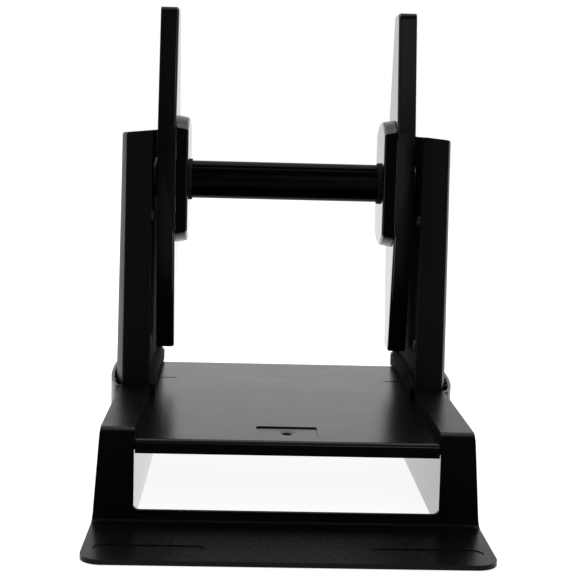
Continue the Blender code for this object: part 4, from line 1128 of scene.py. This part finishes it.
@dataclass
class Deck:
    """The plate that labels run under, screwed between the rails."""

    layout: Layout
    front_height: float = 0.0072
    roll_radius: float = 0.0030
    rib_height: float = 0.0035
    rib_width: float = 0.0016
    recess_width: float = 0.0320
    recess_depth: float = 0.0007
    recess_length: float = 0.0236
    recess_setback: float = 0.0124
    dish_radius: float = 0.0078
    dish_depth: float = 0.0007
    hole_radius: float = 0.0025
    slit_length: float = 0.0125
    slit_width: float = 0.0019
    slit_setback: float = 0.1720
    boss_height: float = 0.0060
    edge_radius: float = 0.0003

    @staticmethod
    def screws(layout: Layout) -> tuple[Pair, Pair]:
        """Where screws hold the deck, as (x, y) of the right-hand pair."""
        x = layout.bed_half - 0.0080
        return (x, layout.panel_y + 0.0300), (x, layout.deck_rear_y - 0.0300)

    @property
    def thickness(self) -> float:
        """Thickness of the plate."""
        return self.layout.deck_top - self.layout.deck_under

    @property
    def recess_y(self) -> float:
        """Middle of the recess."""
        return self.layout.panel_y + self.recess_setback + self.recess_length / 2

    def side_outline(self) -> Outline:
        """Side view of the plate, whose front edge rolls down."""
        layout, front = self.layout, self.layout.deck_front_y
        roll, back = self.roll_radius, front + self.thickness
        low = layout.deck_top - self.front_height
        inner = 0.0005
        return [
            (front, low),
            *arc((front + roll, layout.deck_top - roll), roll, 180, 90),
            (layout.deck_rear_y, layout.deck_top),
            (layout.deck_rear_y, layout.deck_under),
            *arc((back + inner, layout.deck_under - inner), inner, 90, 180, 3),
            (back, low),
        ]

    def underside(self) -> list[Form]:
        """The pad under the recess, the ribs and the screw bosses."""
        layout = self.layout
        half, reach = self.recess_width / 2 + 0.0025, self.recess_length / 2 + 0.00125
        y, top = self.recess_y, layout.deck_under + OVERLAP
        pad_low = layout.deck_under - self.recess_depth
        shapes = [Form.block((-half, y - reach, pad_low), (half, y + reach, top))]
        start, end = y + reach + 0.0025, layout.deck_rear_y - 0.0025
        for share in (-0.62, 0.0, 0.62):
            x, side = share * layout.bed_half, self.rib_width / 2
            low = (x - side, start, layout.deck_under - self.rib_height)
            shapes.append(Form.block(low, (x + side, end, top)))
        for place in self.screws(layout):
            boss = Form.rod(Axis.Z, place, 0.0040, layout.deck_under - self.boss_height, top, 32)
            shapes.append(boss.both_sides())
        return shapes

    def cuts(self) -> list[Form]:
        """The recess, its dish and hole, the slits and the pilot holes."""
        layout, y = self.layout, self.recess_y
        half, reach = self.recess_width / 2, self.recess_length / 2
        floor = layout.deck_top - self.recess_depth
        recess = Form.block((-half, y - reach, floor), (half, y + reach, layout.deck_top + OVERRUN))
        recess.soften(lambda edge: runs_along(edge, Axis.Z), 0.00125, 6)
        dish = Form.rod(Axis.Z, (0, y), self.hole_radius, floor - self.dish_depth, floor + OVERLAP,
                        48, self.dish_radius)
        hole = Form.rod(Axis.Z, (0, y), self.hole_radius, floor - OVERRUN, floor + OVERLAP, 32)
        slit_y, slit = layout.panel_y + self.slit_setback, self.slit_width / 2
        slits = Form.block(
            (layout.bed_half - self.slit_length, slit_y - slit, layout.deck_under - OVERLAP),
            (layout.bed_half + OVERRUN, slit_y + slit, layout.deck_top + OVERLAP),
        ).both_sides()
        shapes = [recess, dish, hole, slits]
        bottom = layout.deck_under - self.boss_height
        for place in self.screws(layout):
            pilot = Form.rod(Axis.Z, place, 0.0015, bottom - OVERRUN, bottom + 0.0053)
            shapes.append(pilot.both_sides())
        return shapes

    def build(self, workshop: Workshop) -> None:
        """Models the deck and adds it."""
        half = self.layout.deck_half
        form = Form.plate(self.side_outline(), Axis.X, -half, half)
        form.fuse(*self.underside()).cut(*self.cuts()).round_edges(self.edge_radius)
        # The deck's front faces take the darker colour: painted shade.
        form.set_apart(Skin.SHADED, lambda face: face.normal.y < -0.95)
        workshop.add("deck_moulding", form, Slot.DECK, "stand", "deck_plate")


@dataclass
class Upright:
    """A hollow upright with the slotted panel that closes it."""

    side: Side
    layout: Layout
    curves: UprightCurves
    wall: float = 0.0025
    rim: float = 0.0030
    top_fall: float = 0.0017
    skirt_proud: float = 0.0026
    skirt_rear_proud: float = 0.0011
    skirt_shortfall: float = 0.0050
    skirt_corner: float = 0.0040
    panel_recess: float = 0.0031
    panel_thickness: float = 0.0025
    panel_drop: float = 0.0004
    slot_half: float = 0.0103
    slot_flare: float = 0.0040
    notch_half: float = 0.0134
    notch_outer: float = 0.0890
    corner_radius: float = 0.0012
    edge_radius: float = 0.0003

    @property
    def tray_floor(self) -> float:
        """Height of the cavity's floor."""
        return self.layout.upright_base + self.rim

    @property
    def panel_inner(self) -> float:
        """Distance from the centre plane to the panel's inner face."""
        return self.layout.bed_half + self.panel_recess

    @property
    def panel_outer(self) -> float:
        """Distance from the centre plane to the panel's outer face."""
        return self.panel_inner + self.panel_thickness

    @property
    def tray_seat(self) -> float:
        """Distance from the centre plane to the posts that carry the panel."""
        return self.panel_outer + SEAT_GAP

    def body(self) -> Form:
        """The outside of the upright, rounded at its corners and top."""
        curves, layout = self.curves, self.layout
        form = Form.loft([
            curves.ring(curves.socket_floor + SEAT_GAP, 0, curves.rim(0)),
            curves.ring(layout.upright_base, 0, curves.rim(0)),
            curves.ring(layout.upright_top, 1, curves.rim(1), fall=self.top_fall),
        ])
        top = layout.upright_top - 2 * self.top_fall
        edge_x = layout.bed_half + self.rim

        def is_outer_corner(edge: bmesh.types.BMEdge) -> bool:
            """Whether an edge is the top's rim or a corner of the outer skin."""
            if all(vert.co.z > top for vert in edge.verts):
                return True
            sharp = edge.calc_face_angle() > math.radians(35)
            return sharp and all(vert.co.x > edge_x for vert in edge.verts)

        return form.soften(is_outer_corner, self.corner_radius, 3)

    def faces_bed(self, face: bmesh.types.BMFace) -> bool:
        """Whether a face looks at the bed, where the mould is left rough."""
        inner = self.layout.bed_half + self.rim
        return face.normal.x < -0.9 and face.calc_center_median().x < inner

    def panel_outline(self, gap: float, top: float) -> Outline:
        """The opening that the panel fills, or with a gap the panel itself."""
        low, inset = self.tray_floor + gap, self.rim + gap
        front, rear = self.curves.ends(self.curves.share(low))
        high_front, high_rear = self.curves.ends(self.curves.share(top))
        return [(front + inset, low), (rear - inset, low),
                (high_rear - inset, top), (high_front + inset, top)]

    def hollows(self) -> list[Form]:
        """What is cut from the body: cavity, opening, notch and the foot's hollow."""
        curves, layout = self.curves, self.layout
        inner = layout.bed_half - OVERRUN
        top = layout.upright_top - self.rim - self.top_fall
        walls = {"wall": self.wall, "end_wall": self.rim}
        cavity = Form.loft([
            curves.ring(self.tray_floor, curves.share(self.tray_floor), inner, **walls),
            curves.ring(top, curves.share(top), inner, **walls),
        ])
        opening = Form.plate(self.panel_outline(0, layout.upright_top), Axis.X, inner,
                             self.tray_seat).shifted(z=self.rim)
        notch = Form.block(
            (self.panel_outer - OVERLAP, -self.notch_half, layout.upright_top - 2 * self.rim),
            (self.notch_outer, self.notch_half, layout.upright_top + OVERRUN),
        )
        relief = Form.block((inner, -curves.depth, curves.socket_floor - OVERRUN),
                            (layout.foot_inner, curves.depth, layout.upright_base))
        foot_inner = layout.foot_inner + self.wall
        foot = Form.loft([
            curves.ring(curves.socket_floor - OVERRUN, 0, foot_inner, **walls),
            curves.ring(layout.upright_base - self.rim, 0, foot_inner, **walls),
        ])
        return [cavity, opening, notch, relief, foot]

    def skirt(self) -> Form:
        """The wedge that stands inside the rail, over the deck's edge."""
        layout, half = self.layout, self.curves.depth / 2
        rear = half - self.skirt_shortfall
        outer = layout.foot_inner + layout.wall
        outline = [(layout.bed_half - self.skirt_proud, -half), (outer, -half), (outer, rear),
                   (layout.bed_half - self.skirt_rear_proud, rear)]
        low = layout.deck_top + SEAT_GAP
        form = Form.plate(outline, Axis.Z, low, layout.upright_base + OVERLAP)

        def is_rear_foot(edge: bmesh.types.BMEdge) -> bool:
            """Whether an edge is the skirt's lower rear one."""
            return all(vert.co.y > rear - OVERLAP and vert.co.z < low + OVERLAP
                       for vert in edge.verts)

        return form.soften(is_rear_foot, self.skirt_corner, 8)

    def posts(self) -> list[Form]:
        """Posts for the screws of the panel and of the foot."""
        curves, layout = self.curves, self.layout
        shapes = []
        for y, z in curves.panel_screws():
            end = curves.skin(y, curves.share(z)) - self.wall / 2
            shapes.append(Form.rod(Axis.X, (y, z), 0.0040, self.tray_seat, end))
        for place in curves.foot_screws():
            shapes.append(Form.rod(Axis.Z, place, 0.0045, curves.socket_floor + SEAT_GAP,
                                   layout.upright_base - self.rim / 2))
        return shapes

    def pilots(self) -> list[Form]:
        """The pilot holes in the posts."""
        shapes = [Form.rod(Axis.X, place, 0.0015, self.tray_seat - SEAT_GAP, self.tray_seat + 0.0053)
                  for place in self.curves.panel_screws()]
        low = self.curves.socket_floor + SEAT_GAP
        shapes += [Form.rod(Axis.Z, place, 0.0015, low - OVERLAP, low + 0.0053)
                   for place in self.curves.foot_screws()]
        return shapes

    def panel(self) -> Form:
        """The panel with its open-top slot and screw holes."""
        layout = self.layout
        top = layout.upright_top - self.panel_drop
        form = Form.plate(self.panel_outline(SEAT_GAP, top), Axis.X, self.panel_inner,
                          self.panel_outer)
        half, wide = self.slot_half, self.slot_half + self.slot_flare
        slot = arc((0, layout.axle_z), half, -180, 0, 32)
        slot += [(half, top - self.slot_flare), (wide, top), (wide, top + OVERRUN),
                 (-wide, top + OVERRUN), (-wide, top), (-half, top - self.slot_flare)]
        low, high = self.panel_inner - OVERRUN, self.panel_outer + OVERRUN
        holes = [Form.rod(Axis.X, place, 0.0018, low, high) for place in self.curves.panel_screws()]
        return form.cut(Form.plate(slot, Axis.X, low, high), *holes)

    def build(self, workshop: Workshop) -> None:
        """Models the shell and its panel and adds them."""
        label, y = self.side.label, self.layout.axle_y
        shell = self.body().cut(*self.hollows()).fuse(self.skirt(), *self.posts())
        shell.cut(*self.pilots()).round_edges(self.edge_radius)
        shell.set_apart(Skin.MATT, self.faces_bed)
        workshop.add(f"{label}_upright_moulding", shell.on(self.side).shifted(y=y), Slot.UPRIGHT,
                     "stand", f"{label}_upright_shell")
        panel = self.panel().round_edges(self.edge_radius)
        workshop.add(f"{label}_slot_panel", panel.on(self.side).shifted(y=y), Slot.PANEL,
                     "stand", f"{label}_upright_panel")


@dataclass
class CrossScrew:
    """A crowned screw with a cross recess, head upwards at the origin."""

    length: float
    shank: float = 0.0012
    head: float = 0.0030
    rise: float = 0.0018
    crown_share: float = 0.55
    recess_depth: float = 0.0009
    recess_width: float = 0.0007

    def form(self) -> Form:
        """The screw along Z, with its head's underside at zero."""
        head, rise = self.head, self.rise
        profile = [(0, rise), (head * self.crown_share, rise), (head * 0.86, rise * 0.82),
                   (head, rise * self.crown_share), (head, 0), (self.shank, 0),
                   (self.shank, -self.length + self.shank), (0, -self.length)]
        form = Form.turned(profile, steps=24).moved(Matrix.Rotation(-math.pi / 2, 4, "Y"))
        reach, half = head * 0.58, self.recess_width / 2
        low, high = rise - self.recess_depth, rise + OVERLAP
        return form.cut(Form.block((-reach, -half, low), (reach, half, high)),
                        Form.block((-half, -reach, low), (half, reach, high)))


class Fasteners:
    """The screws of the deck, the uprights and the guides."""

    def __init__(self, layout: Layout, curves: UprightCurves) -> None:
        """Keeps the places that the screws are set out from."""
        self.layout = layout
        self.curves = curves

    def add(self, workshop: Workshop, node: str, length: float, place: Matrix, body: str) -> None:
        """Puts a screw where a packed one is.

        Args:
            workshop: Where pieces are added.
            node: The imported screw's name.
            length: Length of its shank.
            place: Where its head sits, with Z out of the head.
            body: The body that it rides on.
        """
        form = CrossScrew(length).form().moved(place)
        workshop.add(node.replace("screw", "fixing"), form, Slot.STEEL, body, node)

    def build(self, workshop: Workshop) -> None:
        """Adds the screws of the deck and of the uprights."""
        layout, curves = self.layout, self.curves
        down = Matrix.Rotation(math.pi, 4, "X")
        deck_z = layout.deck_under - 0.0060 - 2 * SEAT_GAP - 0.0025
        foot_z = curves.socket_floor - layout.wall - SEAT_GAP
        for side in Side:
            for where, (x, y) in zip(("front", "rear"), Deck.screws(layout)):
                place = Matrix.Translation((side.value * x, y, deck_z)) @ down
                self.add(workshop, f"deck_screw_{side.label}_{where}", 0.0078, place, "stand")
            for where, (x, y) in zip(("front", "rear"), curves.foot_screws()):
                place = Matrix.Translation((side.value * x, layout.axle_y + y, foot_z)) @ down
                self.add(workshop, f"{side.label}_foot_screw_{where}", 0.0078, place, "stand")
            inward = Matrix.Rotation(-side.value * math.pi / 2, 4, "Y")
            x = side.value * (layout.bed_half + 0.0031 - SEAT_GAP)
            for where, (y, z) in zip(("low_front", "low_rear", "high_front"), curves.panel_screws()):
                place = Matrix.Translation((x, layout.axle_y + y, z)) @ inward
                self.add(workshop, f"{side.label}_panel_screw_{where}", 0.0078, place, "stand")


@dataclass
class Feet:
    """The rubber feet, let into the underside."""

    layout: Layout
    radius: float = 0.0060
    seat: float = 0.0012

    @staticmethod
    def places(layout: Layout) -> dict[str, Pair]:
        """Where the feet sit, as (x, y) of the right-hand pair."""
        return {
            "front": (layout.base_outer - 0.0120, layout.panel_y - 0.0200),
            "rear": (layout.bed_half + layout.wall + 0.0080, layout.rear_y - 0.0130),
        }

    def form(self) -> Form:
        """One foot along Z, with rings pressed into its sole."""
        top, lift, radius = self.layout.lift + self.seat - SEAT_GAP, self.layout.lift, self.radius
        profile = [(0, top), (radius, top), (radius, lift), (radius - 0.0002, 0.0003),
                   (radius - lift, 0), (0.0042, 0), (0.0040, 0.0003), (0.0036, 0.0003),
                   (0.0034, 0), (0.0022, 0), (0.0020, 0.0003), (0.0016, 0.0003), (0.0014, 0), (0, 0)]
        return Form.turned(profile, steps=40).moved(Matrix.Rotation(-math.pi / 2, 4, "Y"))

    def build(self, workshop: Workshop) -> None:
        """Adds the four feet."""
        for side in Side:
            for where, (x, y) in self.places(self.layout).items():
                form = self.form().shifted(side.value * x, y)
                workshop.add(f"{side.label}_{where}_foot", form, Slot.RUBBER, "stand",
                             f"rubber_foot_{side.label}_{where}")


@dataclass
class Spindle:
    """The turning spindle: tube, journals, end screws and the bushes that carry it."""

    layout: Layout
    radius: float = 0.0116
    bore: float = 0.0085
    keyway_depth: float = 0.0008
    keyway_width: float = 0.0024
    end: float = 0.0759
    journal_radius: float = 0.0060
    journal_seat: float = 0.0786
    journal_flange: float = 0.0024
    journal_end: float = 0.0854
    plug_length: float = 0.0160
    bush_radius: float = 0.0100
    bush_flange: float = 0.0130
    bush_inner: float = 0.0789
    bush_outer: float = 0.0848
    panel_inner: float = 0.0803
    panel_outer: float = 0.0834
    cap_radius: float = 0.0080
    cap_height: float = 0.0025

    def on_axle(self, form: Form, side: Side = Side.RIGHT) -> Form:
        """Puts a shape made about X onto the axle."""
        return form.on(side).shifted(y=self.layout.axle_y, z=self.layout.axle_z)

    def tube(self) -> Form:
        """The tube with its four keyways."""
        form = Form.rod(Axis.X, (0, 0), self.radius, -self.end, self.end, 72)
        far = self.end + OVERRUN
        tools = [Form.rod(Axis.X, (0, 0), self.bore, -far, far, 48)]
        for index in range(4):
            low = (-far, -self.keyway_width / 2, self.radius - self.keyway_depth)
            keyway = Form.block(low, (far, self.keyway_width / 2, self.radius + OVERRUN))
            tools.append(keyway.moved(Matrix.Rotation(math.radians(45 + 90 * index), 4, "X")))
        return form.cut(*tools).round_edges(0.0002)

    def journal(self) -> Form:
        """The stub that plugs the tube's end and turns in the bush."""
        tip = self.journal_end - 0.0077
        flange, outer = self.journal_seat - self.journal_flange, self.radius - SEAT_GAP
        plug = self.bore - SEAT_GAP
        lead = 0.0004
        return Form.turned([
            (0, tip), (0.0015, tip), (0.0015, self.journal_end),
            (self.journal_radius - lead, self.journal_end),
            (self.journal_radius, self.journal_end - lead),
            (self.journal_radius, self.journal_seat), (outer - lead, self.journal_seat),
            (outer, self.journal_seat - lead), (outer, flange), (plug, flange),
            (plug, flange - self.plug_length + lead), (plug - lead, flange - self.plug_length),
            (0, flange - self.plug_length),
        ])

    def bush(self) -> Form:
        """The flanged bush that straddles the panel."""
        bore, lead = self.journal_radius + RUNNING_GAP, 0.0003
        wide, neck = self.bush_flange, self.bush_radius
        return Form.turned([
            (wide - lead, self.bush_outer), (wide, self.bush_outer - lead),
            (wide, self.panel_outer), (neck, self.panel_outer), (neck, self.panel_inner),
            (wide, self.panel_inner), (wide, self.bush_inner + lead),
            (wide - lead, self.bush_inner), (bore + lead, self.bush_inner),
            (bore, self.bush_inner + lead), (bore, self.bush_outer - lead),
            (bore + lead, self.bush_outer),
        ], closed=True)

    def cap(self) -> Form:
        """The flanged screw that keeps the bush on its journal."""
        seat, wide = self.journal_end + SEAT_GAP, self.cap_radius
        top, tip = seat + self.cap_height, self.journal_end - 0.0074
        form = Form.turned([
            (0, top), (wide * 0.55, top), (wide * 0.8, top - 0.0003), (wide, seat + 0.0014),
            (wide, seat), (0.0012, seat), (0.0012, tip + 0.001), (0, tip),
        ])
        half, reach, floor = 0.0005, 0.0030, top - 0.0014
        return form.cut(Form.block((floor, -half, -reach), (top + OVERLAP, half, reach)),
                        Form.block((floor, -reach, -half), (top + OVERLAP, reach, half)))

    def build(self, workshop: Workshop) -> None:
        """Adds the spindle's pieces and the bushes."""
        tube = self.on_axle(self.tube())
        workshop.add("spindle_profile", tube, Slot.SPINDLE, "spindle", "spindle_tube")
        for side in Side:
            label = side.label
            workshop.add(f"{label}_journal_stub", self.on_axle(self.journal(), side), Slot.SPINDLE,
                         "spindle", f"{label}_journal")
            workshop.add(f"{label}_cap_screw", self.on_axle(self.cap(), side), Slot.STEEL,
                         "spindle", f"{label}_end_screw")
            workshop.add(f"{label}_bearing_bush", self.on_axle(self.bush(), side), Slot.BUSH,
                         "bushes", f"{label}_bush")


@dataclass
class Guide:
    """A sliding guide: a tapered blade with a crowned core block on its inner side."""

    side: Side
    layout: Layout
    half_length: float = 0.1045
    waist_half: float = 0.0262
    waist_rise: float = 0.0320
    tip_half: float = 0.0115
    tip_radius: float = 0.0040
    fillet: float = 0.0017
    outer: float = 0.0778
    inner: float = 0.0667
    face: float = 0.0025
    rim: float = 0.0024
    bore: float = 0.0120
    key_reach: float = 0.0112
    hub_crown: float = 0.0073
    hub_taper: float = 0.0010
    hub_length: float = 0.0072
    hub_rim: float = 0.0024
    hub_web: float = 0.0028
    hub_fillet: float = 0.0018
    sleeve_wall: float = 0.0029
    boss_spread: float = 0.0130
    boss_rise: float = 0.0250
    ring_wall: float = 0.0007
    ring_length: float = 0.0037
    ring_proud: float = 0.0018
    edge_radius: float = 0.00035

    @property
    def seat(self) -> float:
        """Distance from the centre plane to the block's outer face."""
        return self.inner - SEAT_GAP

    @property
    def tip(self) -> float:
        """Distance from the centre plane to the block's inner face."""
        return self.seat - self.hub_length

    @property
    def screw_head(self) -> float:
        """Distance from the centre plane to the underside of the screws' heads."""
        return self.outer - 0.0018 - 2 * SEAT_GAP

    def screws(self) -> tuple[Pair, ...]:
        """Where screws hold the block, from the axle, as (y, z)."""
        y, z = self.boss_spread, self.boss_rise
        return (-y, z), (y, z), (-y, -z), (y, -z)

    def placed(self, form: Form) -> Form:
        """Puts a right-hand shape made about the axle where the guide is."""
        return form.on(self.side).shifted(y=self.layout.axle_y, z=self.layout.axle_z)

    def half_depth(self, z: float) -> float:
        """Half the depth of the blade at a height from the axle, even along its waist."""
        share = max(0.0, abs(z) - self.waist_rise) / (self.half_length - self.waist_rise)
        return blend(self.waist_half, self.tip_half, share)

    def blade(self) -> Form:
        """The long plate, hollowed from behind."""
        tip, waist, end, rise = self.tip_half, self.waist_half, self.half_length, self.waist_rise
        right = [(tip, -end), (waist, -rise), (waist, rise), (tip, end)]
        left = [(-tip, end), (-waist, rise), (-waist, -rise), (-tip, -end)]
        form = Form.plate(right + left, Axis.X, self.inner, self.outer)

        def is_inner_rim(edge: bmesh.types.BMEdge) -> bool:
            """Whether an edge runs round the inner face above or below the core block."""
            inner = all(vert.co.x < self.inner + OVERLAP for vert in edge.verts)
            return inner and any(abs(vert.co.z) > rise + OVERLAP for vert in edge.verts)

        form.soften(lambda edge: runs_along(edge, Axis.X) and
                    abs(edge.verts[0].co.z) > end - OVERLAP, self.tip_radius, 8)
        form.soften(is_inner_rim, self.fillet, 6)
        tools = []
        for up in (-1, 1):
            for back in (-1, 1):
                start, stop, rib = rise + self.hub_crown + self.rim, end - self.rim, self.rim / 2
                pocket = [(back * rib, up * start),
                          (back * (self.half_depth(start) - self.rim), up * start),
                          (back * (self.half_depth(stop) - self.rim), up * stop),
                          (back * rib, up * stop)]
                tool = Form.plate(pocket, Axis.X, self.inner + self.face, self.outer + OVERRUN)
                tools.append(tool.soften(lambda edge: runs_along(edge, Axis.X), 0.0015, 4))
        low, high = self.inner - OVERRUN, self.outer + OVERRUN
        tools.append(Form.rod(Axis.X, (0, 0), self.bore, low, high, 64))
        for place in self.screws():
            tools.append(Form.rod(Axis.X, place, 0.0018, low, high))
            tools.append(Form.rod(Axis.X, place, 0.0033, self.screw_head - SEAT_GAP, high))
        form.cut(*tools).round_edges(self.edge_radius)
        return form.set_apart(Skin.POLISHED, lambda face: face.normal.x < -0.3)

    def ring_at(self, x: float, inset: float) -> list[Vector]:
        """The outline of the block, drawn in by an inset: flat in front, crowned at its ends."""
        half, crown = self.waist_half - inset, self.hub_crown
        radius = (half * half + crown * crown) / (2 * crown)
        centre = self.waist_rise - inset + crown - radius
        span = math.degrees(math.asin(half / radius))
        points = arc((0, centre), radius, 90 - span, 90 + span, 32)
        points += arc((0, -centre), radius, 270 - span, 270 + span, 32)
        return [Vector((x, a, b)) for a, b in points]

    def block(self) -> Form:
        """The hollow core block with its sleeve, bosses and keys."""
        fillet, taper = self.hub_fillet, self.hub_taper
        rings = [self.ring_at(self.seat, 0)]
        for drawn_in, risen in arc((taper + fillet, fillet), fillet, 180, 270, 5):
            rings.append(self.ring_at(self.tip + risen, drawn_in))
        form = Form.loft(rings)
        web = self.tip + self.hub_web
        form.cut(Form.loft([
            self.ring_at(self.seat + OVERLAP, self.hub_rim),
            self.ring_at(web, self.hub_rim + taper * (self.seat - web) / self.hub_length),
        ]))
        root = self.tip + self.hub_web / 2
        joins = [Form.rod(Axis.X, (0, 0), self.bore + self.sleeve_wall, root, self.seat, 64)]
        ring_end = self.tip - self.ring_proud + self.ring_length + SEAT_GAP
        cuts = [
            Form.rod(Axis.X, (0, 0), self.bore, self.tip - OVERLAP, self.seat + OVERLAP, 64),
            Form.rod(Axis.X, (0, 0), self.bore + self.ring_wall + SEAT_GAP, self.tip - OVERLAP,
                     ring_end, 64),
        ]
        for place in self.screws():
            joins.append(Form.rod(Axis.X, place, 0.0040, root, self.seat))
            cuts.append(Form.rod(Axis.X, place, 0.0015, self.seat - 0.0053, self.seat + OVERLAP))
        form.fuse(*joins).cut(*cuts)
        keys = []
        for index in range(4):
            low = (ring_end + SEAT_GAP, -0.0009, self.key_reach)
            key = Form.block(low, (self.seat - SEAT_GAP, 0.0009, self.bore + self.sleeve_wall / 2))
            keys.append(key.moved(Matrix.Rotation(math.radians(45 + 90 * index), 4, "X")))
        form.fuse(*keys).round_edges(0.0002)
        # The block's front faces take the darker colour, painted shade; its tip takes the glossier skin.
        form.set_apart(Skin.SHADED, lambda face: face.normal.y < -0.9)
        return form.set_apart(Skin.POLISHED, lambda face: face.normal.x < -0.5)

    def ring(self) -> Form:
        """The soft ring that grips the spindle."""
        low, inner = self.tip - self.ring_proud, self.bore
        outer, high, lead = inner + self.ring_wall, low + self.ring_length, 0.00025
        return Form.turned([
            (outer, high), (outer, low + lead), (outer - lead, low), (inner + lead, low),
            (inner, low + lead), (inner, high),
        ], closed=True, steps=64)

    def build(self, workshop: Workshop) -> None:
        """Adds the guide's pieces."""
        label = self.side.label
        body = f"{label}_guide"
        workshop.add(f"{label}_blade_moulding", self.placed(self.blade()), Slot.GUIDE, body,
                     f"{label}_guide_blade")
        workshop.add(f"{label}_core_block", self.placed(self.block()), Slot.HUB, body,
                     f"{label}_core_hub")
        workshop.add(f"{label}_spindle_grip", self.placed(self.ring()), Slot.RUBBER, body,
                     f"{label}_grip_ring")
        length = self.screw_head - self.seat + 0.0050
        outward = Matrix.Rotation(math.pi / 2, 4, "Y")
        for index, (y, z) in enumerate(self.screws(), start=1):
            place = Matrix.Translation((self.screw_head, y, z)) @ outward
            form = self.placed(CrossScrew(length).form().moved(place))
            workshop.add(f"{label}_block_fixing_{index}", form, Slot.STEEL, body,
                         f"{label}_hub_screw_{index}")


@dataclass
class Studio:
    """A plain pale room: floor, soft lamps, world and the photograph's camera."""

    eye: tuple[float, float, float] = (-0.02455, -0.78101, 0.20575)
    pitch: float = 6.807
    yaw: float = 1.870
    roll: float = 1.482
    lens: float = 86.87
    floor_size: float = 12.0
    floor_shade: float = 0.45
    floor_glow: float = 1.0
    floor_white: float = 0.92
    front_light: float = 0.25
    back_light: float = 1.0

    def floor(self) -> None:
        """The floor that the stand rests on, which keeps its shadow."""
        bm = bmesh.new()
        bmesh.ops.create_grid(bm, x_segments=1, y_segments=1, size=self.floor_size / 2)
        mesh = bpy.data.meshes.new("floor")
        bm.to_mesh(mesh)
        bm.free()
        obj = bpy.data.objects.new("floor", mesh)
        bpy.context.scene.collection.objects.link(obj)
        material, tree, shader = new_material("floor_white")
        shader.inputs["Base Color"].default_value = grey(self.floor_shade)
        shader.inputs["Roughness"].default_value = 0.9
        shader.inputs["Specular IOR Level"].default_value = 0.0
        shader.inputs["Emission Color"].default_value = grey(1.0)
        path = tree.add("ShaderNodeLightPath")
        seen = tree.maths("MULTIPLY", path.outputs["Is Camera Ray"], self.floor_white)
        mirrored = tree.maths("MULTIPLY", path.outputs["Is Glossy Ray"], self.floor_glow)
        tree.feed(shader, "Emission Strength", tree.maths("MAXIMUM", seen, mirrored))
        mesh.materials.append(material)

    def world(self) -> None:
        """A white room behind the stand that darkens towards the camera."""
        world = bpy.data.worlds.new("studio")
        world.use_nodes = True
        tree = NodeTree(world.node_tree)
        background = world.node_tree.nodes["Background"]
        direction = tree.add("ShaderNodeTexCoord").outputs["Generated"]
        parts = tree.add("ShaderNodeSeparateXYZ", Vector=direction)
        level = tree.remap(parts.outputs["Y"], -0.4, 0.8, self.front_light, self.back_light)
        path = tree.add("ShaderNodeLightPath")
        strength = tree.maths("MAXIMUM", level, path.outputs["Is Camera Ray"])
        tree.feed(background, "Color", grey(1.0))
        tree.feed(background, "Strength", strength)
        bpy.context.scene.world = world

    def lamp(self, name: str, place: Sequence[float], target: Sequence[float], size: float,
             power: float) -> None:
        """Adds a square soft lamp.

        Args:
            name: The lamp's name.
            place: Where it hangs.
            target: What it points at.
            size: Its side.
            power: Its power in watts.
        """
        data = bpy.data.lights.new(name, "AREA")
        data.shape = "SQUARE"
        data.size = size
        data.energy = power
        obj = bpy.data.objects.new(name, data)
        obj.location = place
        way = Vector(target) - Vector(place)
        obj.rotation_euler = way.to_track_quat("-Z", "Y").to_euler()
        bpy.context.scene.collection.objects.link(obj)

    def camera(self) -> None:
        """The camera at the photograph's viewpoint."""
        pitch, yaw, roll = (math.radians(angle) for angle in (self.pitch, self.yaw, self.roll))
        ahead = Vector((math.sin(yaw) * math.cos(pitch), math.cos(yaw) * math.cos(pitch),
                        -math.sin(pitch)))
        right = Vector((math.cos(yaw), -math.sin(yaw), 0))
        up = right.cross(ahead)
        tilted_right = math.cos(roll) * right + math.sin(roll) * up
        tilted_up = math.cos(roll) * up - math.sin(roll) * right
        data = bpy.data.cameras.new("photograph_view")
        data.sensor_width = 36
        data.lens = self.lens
        data.clip_start = 0.05
        obj = bpy.data.objects.new("photograph_view", data)
        matrix = Matrix((tilted_right, tilted_up, -ahead)).transposed().to_4x4()
        matrix.translation = Vector(self.eye)
        obj.matrix_world = matrix
        bpy.context.scene.collection.objects.link(obj)
        bpy.context.scene.camera = obj

    def build(self) -> None:
        """Sets up the room."""
        self.floor()
        self.world()
        self.lamp("overhead", (0.0, 0.5, 1.6), (0.0, 0.0, 0.1), 1.2, 8)
        self.lamp("front_high", (0.25, -1.1, 0.75), (0.0, 0.05, 0.22), 0.5, 2.5)
        self.lamp("front_low", (0.226, -0.97, 0.203), (0.088, 0.022, 0.168), 0.16, 0.5)
        self.camera()
        bpy.context.scene.view_settings.view_transform = "Standard"


def main() -> None:
    """Builds every piece, then the room."""
    logging.basicConfig(level=logging.INFO, format="%(message)s")
    layout = Layout.read()
    curves = UprightCurves(layout)
    workshop = Workshop(Finishes())
    BaseFrame(layout, curves).build(workshop)
    Deck(layout).build(workshop)
    for side in Side:
        Upright(side, layout, curves).build(workshop)
    Fasteners(layout, curves).build(workshop)
    Feet(layout).build(workshop)
    Spindle(layout).build(workshop)
    for side in Side:
        Guide(side, layout).build(workshop)
    Studio().build()
    LOG.info("%d pieces", workshop.count)


if __name__ == "__main__":
    main()
